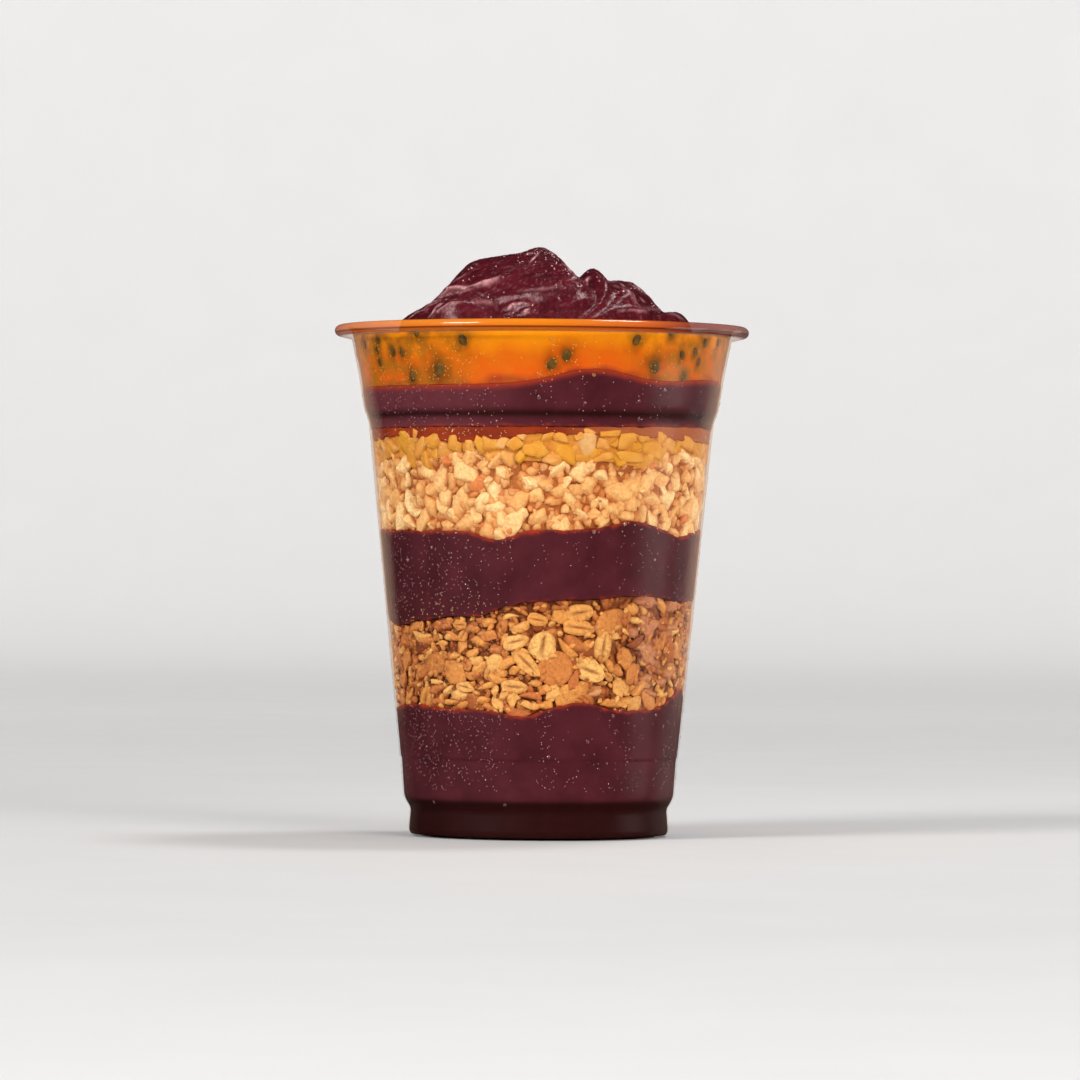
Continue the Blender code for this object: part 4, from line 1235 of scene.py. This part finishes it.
def tongue_heights(tongue, x, y):
    centre_x, centre_y, length, width, turn, height = tongue
    angle = math.radians(turn)
    dx, dy = x - centre_x, y - centre_y
    along = (dx * math.cos(angle) + dy * math.sin(angle)) / length
    across = (dy * math.cos(angle) - dx * math.sin(angle)) / width
    return height * np.maximum(1.0 - (along ** 2 + across ** 2) ** 1.2, 0.0)


def fold_heights(fold, x, y):
    """A ridge in the plan between two points: soft on one side and steep on the other."""
    (x0, y0), (x1, y1), bow, height, soft, steep = fold
    length = math.hypot(x1 - x0, y1 - y0)
    ux, uy = (x1 - x0) / length, (y1 - y0) / length
    along = ((x - x0) * ux + (y - y0) * uy) / length
    across = (y - y0) * ux - (x - x0) * uy - bow * (1.0 - (2.0 * along - 1.0) ** 2)
    window = smoothstep(-0.08, 0.3, along) * (1.0 - smoothstep(0.72, 1.08, along))
    width = np.where(across > 0, steep, soft)
    return height * window * np.exp(-((across / width) ** 2))


def near_line(line, x, z):
    """How far points lie from a line of points, on which side, and how far along it."""
    nearest = np.full(x.shape, 1e9)
    side, share = np.zeros(x.shape), np.zeros(x.shape)
    lengths = [math.hypot(b[0] - a[0], b[1] - a[1]) for a, b in zip(line, line[1:])]
    done, whole = 0.0, sum(lengths)
    for (x0, z0), (x1, z1), length in zip(line, line[1:], lengths):
        ux, uz = (x1 - x0) / length, (z1 - z0) / length
        t = np.clip((x - x0) * ux + (z - z0) * uz, 0.0, length)
        away = np.hypot(x - x0 - t * ux, z - z0 - t * uz)
        closer = away < nearest
        nearest = np.where(closer, away, nearest)
        side = np.where(closer, (z - z0) * ux - (x - x0) * uz, side)
        share = np.where(closer, (done + t) / whole, share)
        done += length
    return nearest, side * (1.0 if line[-1][0] >= line[0][0] else -1.0), share


def crease_push(crease, x, z):
    """How far a crease lifts the mound's front at each point: steep on one side, soft on the other."""
    pixels, height, above, below = crease
    nearest, up_side, share = near_line([upright(px, py) for px, py in pixels], x, z)
    width = np.where(up_side > 0, above, below)
    ends = 0.35 + 0.65 * smoothstep(0.0, 0.25, share) * (1.0 - smoothstep(0.75, 1.0, share))
    return height * ends * np.exp(-((nearest / width) ** 1.35))


def stroke_and_highlight(stroke, x, z):
    """How pale a stroke makes each point, as frothy streak and painted highlight: thin, and broken towards
    its ends.
    """
    pixels, width, strength = stroke
    nearest, _, share = near_line([upright(px, py) for px, py in pixels], x, z)
    ends = 0.4 + 0.6 * smoothstep(0.0, 0.2, share) * (1.0 - smoothstep(0.8, 1.0, share))
    return strength * ends * np.exp(-((nearest / width) ** 2))


def mound_heights(x, y):
    """The mound's heights over its plan: the skyline's body, the tongues and the skirt in one blend."""
    depth = np.minimum(np.abs(y) / MOUND_RADIUS, 1.0)
    chord = MOUND_RADIUS * np.sqrt(np.maximum(1.0 - depth ** 2, 1e-6))
    across = np.clip(x / chord, -1.0, 1.0)
    start, end = MOUND_BEND
    shear = MOUND_SHEAR * np.clip((np.abs(y) - start) / (end - start), 0.0, 1.0)
    sheared = MOUND_RADIUS * (across + shear * y / MOUND_RADIUS * (1.0 - across ** 2))
    body = skyline_heights(np.clip(sheared, -MOUND_RADIUS, MOUND_RADIUS)) * (1.0 - depth ** 2.2) ** 0.8
    parts = [np.maximum(body, 0.01), np.full_like(x, MOUND_SKIRT)]
    parts += [tongue_heights(tongue, x, y) for tongue in MOUND_TONGUES]
    return sum(part ** MOUND_BLEND for part in parts) ** (1.0 / MOUND_BLEND)


def surface_normals(grid):
    """Upward normals of a polar grid of points."""
    outward = np.gradient(grid, axis=0)
    around = np.roll(grid, -1, axis=1) - np.roll(grid, 1, axis=1)
    normal = np.cross(around, outward)
    normal = normal / np.maximum(np.linalg.norm(normal, axis=-1, keepdims=True), 1e-9)
    return normal * np.where(normal[..., 2:] < 0, -1.0, 1.0)


def seen_from_front(grid):
    """Where points show in the plane of the cup's axis, across and up."""
    nearer = 1.0 / (1.0 + grid[..., 1] / EYE_DISTANCE)
    return grid[..., 0] * nearer, EYE_HEIGHT + (grid[..., 2] - EYE_HEIGHT) * nearer


def make_mound():
    """The spooned mound: its shape, then creases and grain, then pale frothy streaks and painted highlight
    along the strokes.
    """
    steps, rings = 640, 150
    floor = PULP_TOP[0] - 0.2
    even = np.arange(steps) * math.tau / steps
    turn = even - 0.5 * np.sin(even)
    edge = MOUND_RADIUS * (0.98 + 0.012 * np.sin(2 * turn + 0.8) + 0.014 * np.sin(5 * turn + 0.3)
                           + 0.01 * np.sin(9 * turn + 2.0))
    share = ((np.arange(rings) + 1) / rings)[:, None]
    radius = share * edge[None, :]
    x, y = radius * np.sin(turn), -radius * np.cos(turn)
    height = mound_heights(x, y)
    fade = 1.0 - smoothstep(0.86, 1.0, share)
    behind = smoothstep(-4.0, 4.0, y)
    for fold in MOUND_FOLDS:
        height = height + fold_heights(fold, x, y) * fade * behind
    flat = np.stack([x, y, height], axis=-1)
    height = height + fade * 0.35 * grain(flat, 6.0, 1.0)
    height = np.maximum(height, 0.4) * (1.0 - 0.75 * smoothstep(0.965, 1.0, share))
    grid = np.stack([x + MOUND_CENTRE_X, y, floor + height], axis=-1)

    normal = surface_normals(grid)
    front = smoothstep(-2.0, 5.0, -y)
    facing = front * np.clip(-1.6 * normal[..., 1], 0.0, 1.0)
    across, up = seen_from_front(grid)
    push = sum(crease_push(crease, across, up) for crease in MOUND_CREASES)
    pale = sum(stroke_and_highlight(stroke, across, up) for stroke in MOUND_STROKES_AND_HIGHLIGHTS)
    pale = pale * (1.0 - 0.5 * smoothstep(8.0, 20.0, across))
    drawn = np.stack([grid[..., 0] * 0.22, grid[..., 1] * 0.6, grid[..., 2] * 1.2 - grid[..., 0] * 0.35],
                     axis=-1)
    fine = 0.16 * grain(drawn, 1.2, 2.0) + 0.1 * grain(grid, 1.1, 3.0) + 0.06 * grain(grid, 0.5, 4.0)
    relief = facing * (0.8 * push + 0.2 * pale) + fine
    grid = grid + normal * (fade * relief)[..., None]
    grid[..., 2] = np.maximum(grid[..., 2], floor + 0.1)

    streaks = np.stack([grid[..., 0] * 0.5, grid[..., 1] * 0.5, grid[..., 2] - 0.4 * grid[..., 0]], axis=-1)
    broken = 0.9 + 0.9 * grain(streaks, 0.5, 7.0)
    # Painted highlight and frothy streaks: pale pink along the strokes on the front, and a little pale grain
    # all over
    froth_and_highlight = smoothstep(-1.0, 3.0, -y) * pale * broken
    froth_and_highlight = froth_and_highlight + 0.12 * smoothstep(0.25, 0.6, grain(streaks, 0.5, 12.0))
    top = grid.reshape(-1, 3)
    base = np.stack([0.97 * x[-1] + MOUND_CENTRE_X, 0.97 * y[-1], np.full(steps, floor - 0.3)], axis=-1)
    peak = [[MOUND_CENTRE_X, 0.0, float(grid[0, :, 2].mean())]]
    points = np.concatenate([peak, top, base, [[MOUND_CENTRE_X, 0.0, floor - 0.3]]])
    tones = np.concatenate([[0.0], froth_and_highlight.ravel(), np.zeros(steps + 1)])
    return add_piece("mound_flesh", points, ring_faces(rings + 1, steps), mound_acai(), "acai_mound", "acai",
                     tint=tint_rows(tones))


def make_ice(mound):
    """Tiny ice crystals caught on the mound, thickest near its peak."""
    draw = random.Random(SEED + 8)
    tops, cell = {}, 0.5 * MM
    for vertex in mound.data.vertices:
        key = (round(vertex.co.x / cell), round(vertex.co.y / cell))
        if key not in tops or vertex.co.z > tops[key][2]:
            tops[key] = tuple(vertex.co / MM)
    spots = sorted(tops.values())
    ball, faces = icosphere(1)
    chips = []
    while len(chips) < ICE_COUNT:
        spot = spots[draw.randrange(len(spots))]
        if math.hypot(spot[0], spot[1]) > MOUND_RADIUS * 0.92:
            continue
        patch = noise.noise(Vector(spot) / 5.0) + 0.6 * noise.noise(Vector(spot) / 1.8)
        peak = math.exp(-((spot[0] - 3.0) / 7.0) ** 2) * smoothstep(126.0, 136.0, spot[2])
        if draw.random() > smoothstep(0.15, 0.8, patch) + 0.25 * peak + 0.01:
            continue
        size = draw.uniform(0.07, 0.2)
        axis = Vector([draw.gauss(0, 1) for _ in range(3)])
        spin = np.array(Matrix.Rotation(draw.uniform(0, 6), 3, axis))
        chip = (ball * np.array([1.5, 1.0, 0.6]) * size) @ spin.T
        chips.append(chip + np.array(spot))
    made = plain("ice_chips", srgb(226, 172, 174), srgb(246, 214, 212), 0.4, 0.2)
    add_piece("mound_ice", *repeated(chips, faces), made, "acai_mound", "acai", smooth=False)


# Condensation

def drop_on_wall(dome, azimuth, height, size, flatness):
    """A drop that clings to the outside of the wall."""
    placed = dome * np.array([size, size * 1.06, size * flatness])
    z = height + placed[:, 1]
    radius = wall_radius(z) + placed[:, 2] - 0.01
    around = azimuth + np.degrees(placed[:, 0] / float(wall_radius(height)))
    return on_wall(around, z, radius)


def make_droplets():
    """Fine dew on the outside of the wall, thicker in upright bands that also paint in light catching the
    dew, and some larger drops.
    """
    draw = random.Random(SEED + 9)
    fine, fine_faces = half_ball(1)
    fine_points = []
    while len(fine_points) < DEW_COUNT:
        azimuth = draw.uniform(-180, 180)
        # Painted light: more pale drops stand in the upright bands
        thick = DEW_THIN + sum(weight * math.exp(-((((azimuth - centre + 180) % 360) - 180) / width) ** 2)
                               for centre, width, weight in DEW_LIT_BANDS)
        height = draw.uniform(*WET_WALL)
        patch = 0.6 + 0.9 * noise.noise(Vector((azimuth * 0.07, height * 0.06, 3.0)))
        if draw.random() * DEW_THICKEST > thick * patch:
            continue
        fine_points.append(drop_on_wall(fine, azimuth, height, draw.uniform(0.08, 0.17), 0.65))
    add_piece("fine_dew", *repeated(fine_points, fine_faces), dew_material("fine_dew", 0.5),
              "cup", "clear_plastic")

    round_drop, round_faces = half_ball(3)
    large_points = []
    for px, py in LARGE_DROPS:
        azimuth, height = seen_on_wall(px, py)
        large_points.append(drop_on_wall(round_drop, azimuth, height, draw.uniform(0.34, 0.48), 0.7))
    for _ in range(DROP_COUNT):
        azimuth, height = draw.uniform(-180, 180), draw.uniform(*WET_WALL)
        large_points.append(drop_on_wall(round_drop, azimuth, height, draw.uniform(0.2, 0.34), 0.65))
    add_piece("large_drops", *repeated(large_points, round_faces), dew_material("large_drops", 0.12),
              "cup", "clear_plastic")


def half_ball(level):
    """A closed dome: flat below, in (along, up, out)."""
    ball, faces = icosphere(level)
    ball[:, 2] = np.maximum(ball[:, 2], -0.15)
    return ball, faces


def dew_material(name, milky):
    """Water drops: clear with a sharp highlight, and milky by a share, in a pale tint of the layer behind
    them: partly the whitish look of dew, partly painted highlight and painted see-through colour.
    """
    made = Nodes(name)
    acai, toasty = srgb(196, 142, 142), srgb(240, 190, 130)
    nutty, fruity = srgb(255, 226, 176), srgb(255, 196, 84)
    # Painted highlight: pale tints of each layer behind the drops, changing with height
    behind = made.ramp(made.by_height(0.0, 120.0), [
        (0.0, acai), (0.24, acai), (0.27, toasty), (0.45, toasty), (0.48, acai), (0.58, acai), (0.61, nutty),
        (0.79, nutty), (0.81, acai), (0.88, acai), (0.9, fruity), (1.0, fruity)])
    made.set(Base_Color=behind, Roughness=0.05, Specular_IOR_Level=0.6)
    clear = made.simple("Transparent", (0.96, 0.95, 0.94))
    gloss = made.simple("Glossy", (1.0, 0.98, 0.96), Roughness=0.08)
    body = made.blend(milky, clear, made.shader.outputs[0])
    return made.show(made.blend(0.1, body, gloss))


# Stage, light and camera

def make_stage():
    """A wide pale floor that rises far away on every side."""
    flat, rise, bend, steps = 3.0, 2.2, 1.2, 96
    profile = [(flat * share, 0.0) for share in (0.1, 0.3, 0.6, 1.0)]
    profile += [(flat + bend * math.sin(a), bend - bend * math.cos(a))
                for a in np.linspace(0.15, math.pi / 2, 14).tolist()]
    profile.append((flat + bend, rise))
    azimuth = np.arange(steps) * 360.0 / steps
    rings = [on_wall(azimuth, np.full(steps, z), np.full(steps, r)) for r, z in profile]
    points = np.concatenate([[[0.0, 0.0, 0.0]]] + rings)
    bottom = len(points)
    faces = [face[::-1] for face in ring_faces(len(profile), steps) if bottom not in face]
    mesh = bpy.data.meshes.new("floor")
    mesh.from_pydata(points.tolist(), [], faces)
    mesh.shade_smooth()
    made = Nodes("pale_floor")
    apart = made.add("ShaderNodeVectorMath", {0: made.place()}, operation="LENGTH").outputs["Value"]
    glow = made.ramp(made.span(apart, 0.4, 3.4), [(0.0, (0.0, 0.0, 0.0)), (0.3, (0.2, 0.2, 0.2)),
                                                   (1.0, (0.33, 0.325, 0.325))])
    made.set(Base_Color=made.mix(made.span(made.blobs(60.0), 0.3, 0.7), srgb(216, 215, 214),
                                 srgb(219, 218, 217)), Roughness=0.7, Emission_Color=glow,
             Emission_Strength=1.0)
    made.material.cycles.emission_sampling = "NONE"
    mesh.materials.append(made.material)
    floor = bpy.data.objects.new("floor", mesh)
    bpy.context.scene.collection.objects.link(floor)
    floor.visible_glossy = False


def area_light(name, place, aim, width, height, power, glossy=True, tint=(1.0, 1.0, 1.0)):
    """A soft lamp that the camera doesn't see, and that is seen in reflections only where glossy."""
    data = bpy.data.lights.new(name, "AREA")
    data.shape = "RECTANGLE"
    data.size, data.size_y = width, height
    data.energy = power
    data.color = tint
    lamp = bpy.data.objects.new(name, data)
    lamp.location = place
    way = Vector(aim) - Vector(place)
    lamp.rotation_euler = way.to_track_quat("-Z", "Y").to_euler()
    lamp.visible_camera = False
    lamp.visible_glossy = glossy
    bpy.context.scene.collection.objects.link(lamp)


def make_lights():
    area_light("key", (-1.9, -1.66, 1.54), LAMP_AIM, 0.95, 0.95, 52.0)
    area_light("front_fill", (1.6, -2.3, 0.85), LAMP_AIM, 1.6, 1.0, 53.0, glossy=False)
    area_light("top", (0.3, 0.25, 1.0), LAMP_AIM, 0.2, 0.2, 3.2)
    area_light("right_strip", (0.44, -0.02, -0.02), (0, 0, -0.02), 0.2, 0.26, 0.3,
               tint=(1.0, 0.88, 0.84))
    area_light("far_strip", (0.38, 0.3, -0.01), (0, 0, -0.01), 0.24, 0.3, 0.17, tint=(1.0, 0.94, 0.88))
    world = bpy.data.worlds.new("studio")
    bpy.context.scene.world = world
    world.use_nodes = True
    world.node_tree.nodes["Background"].inputs["Color"].default_value = (0.92, 0.91, 0.91, 1.0)
    world.node_tree.nodes["Background"].inputs["Strength"].default_value = 0.4
    world.cycles_visibility.glossy = False


def make_camera():
    data = bpy.data.cameras.new("camera")
    data.sensor_width = CAMERA_FILM
    data.lens = CAMERA_LENS
    data.clip_end = 20.0
    camera = bpy.data.objects.new("camera", data)
    bpy.context.scene.collection.objects.link(camera)
    place = Vector((CAMERA_X, -EYE_DISTANCE * MM, EYE_HEIGHT * MM))
    aim = Vector((CAMERA_X, 0.0, CAMERA_AIM_HEIGHT))
    turn = (aim - place).to_track_quat("-Z", "Y")
    roll = Matrix.Rotation(PHOTO_LEAN, 4, "Z")
    camera.matrix_world = Matrix.Translation(place) @ turn.to_matrix().to_4x4() @ roll
    bpy.context.scene.camera = camera


def main():
    scene = bpy.context.scene
    scene.view_settings.view_transform = "Standard"
    scene.cycles.max_bounces = 10
    scene.cycles.transparent_max_bounces = 24
    scene.cycles.use_denoising = True
    make_cup()
    make_acai_layers()
    seeds = all_seeds()
    make_pulp(seeds)
    make_seeds(seeds)
    make_sauce()
    make_granola()
    make_nuts()
    make_mango()
    make_ice(make_mound())
    make_droplets()
    make_stage()
    make_lights()
    make_camera()


main()
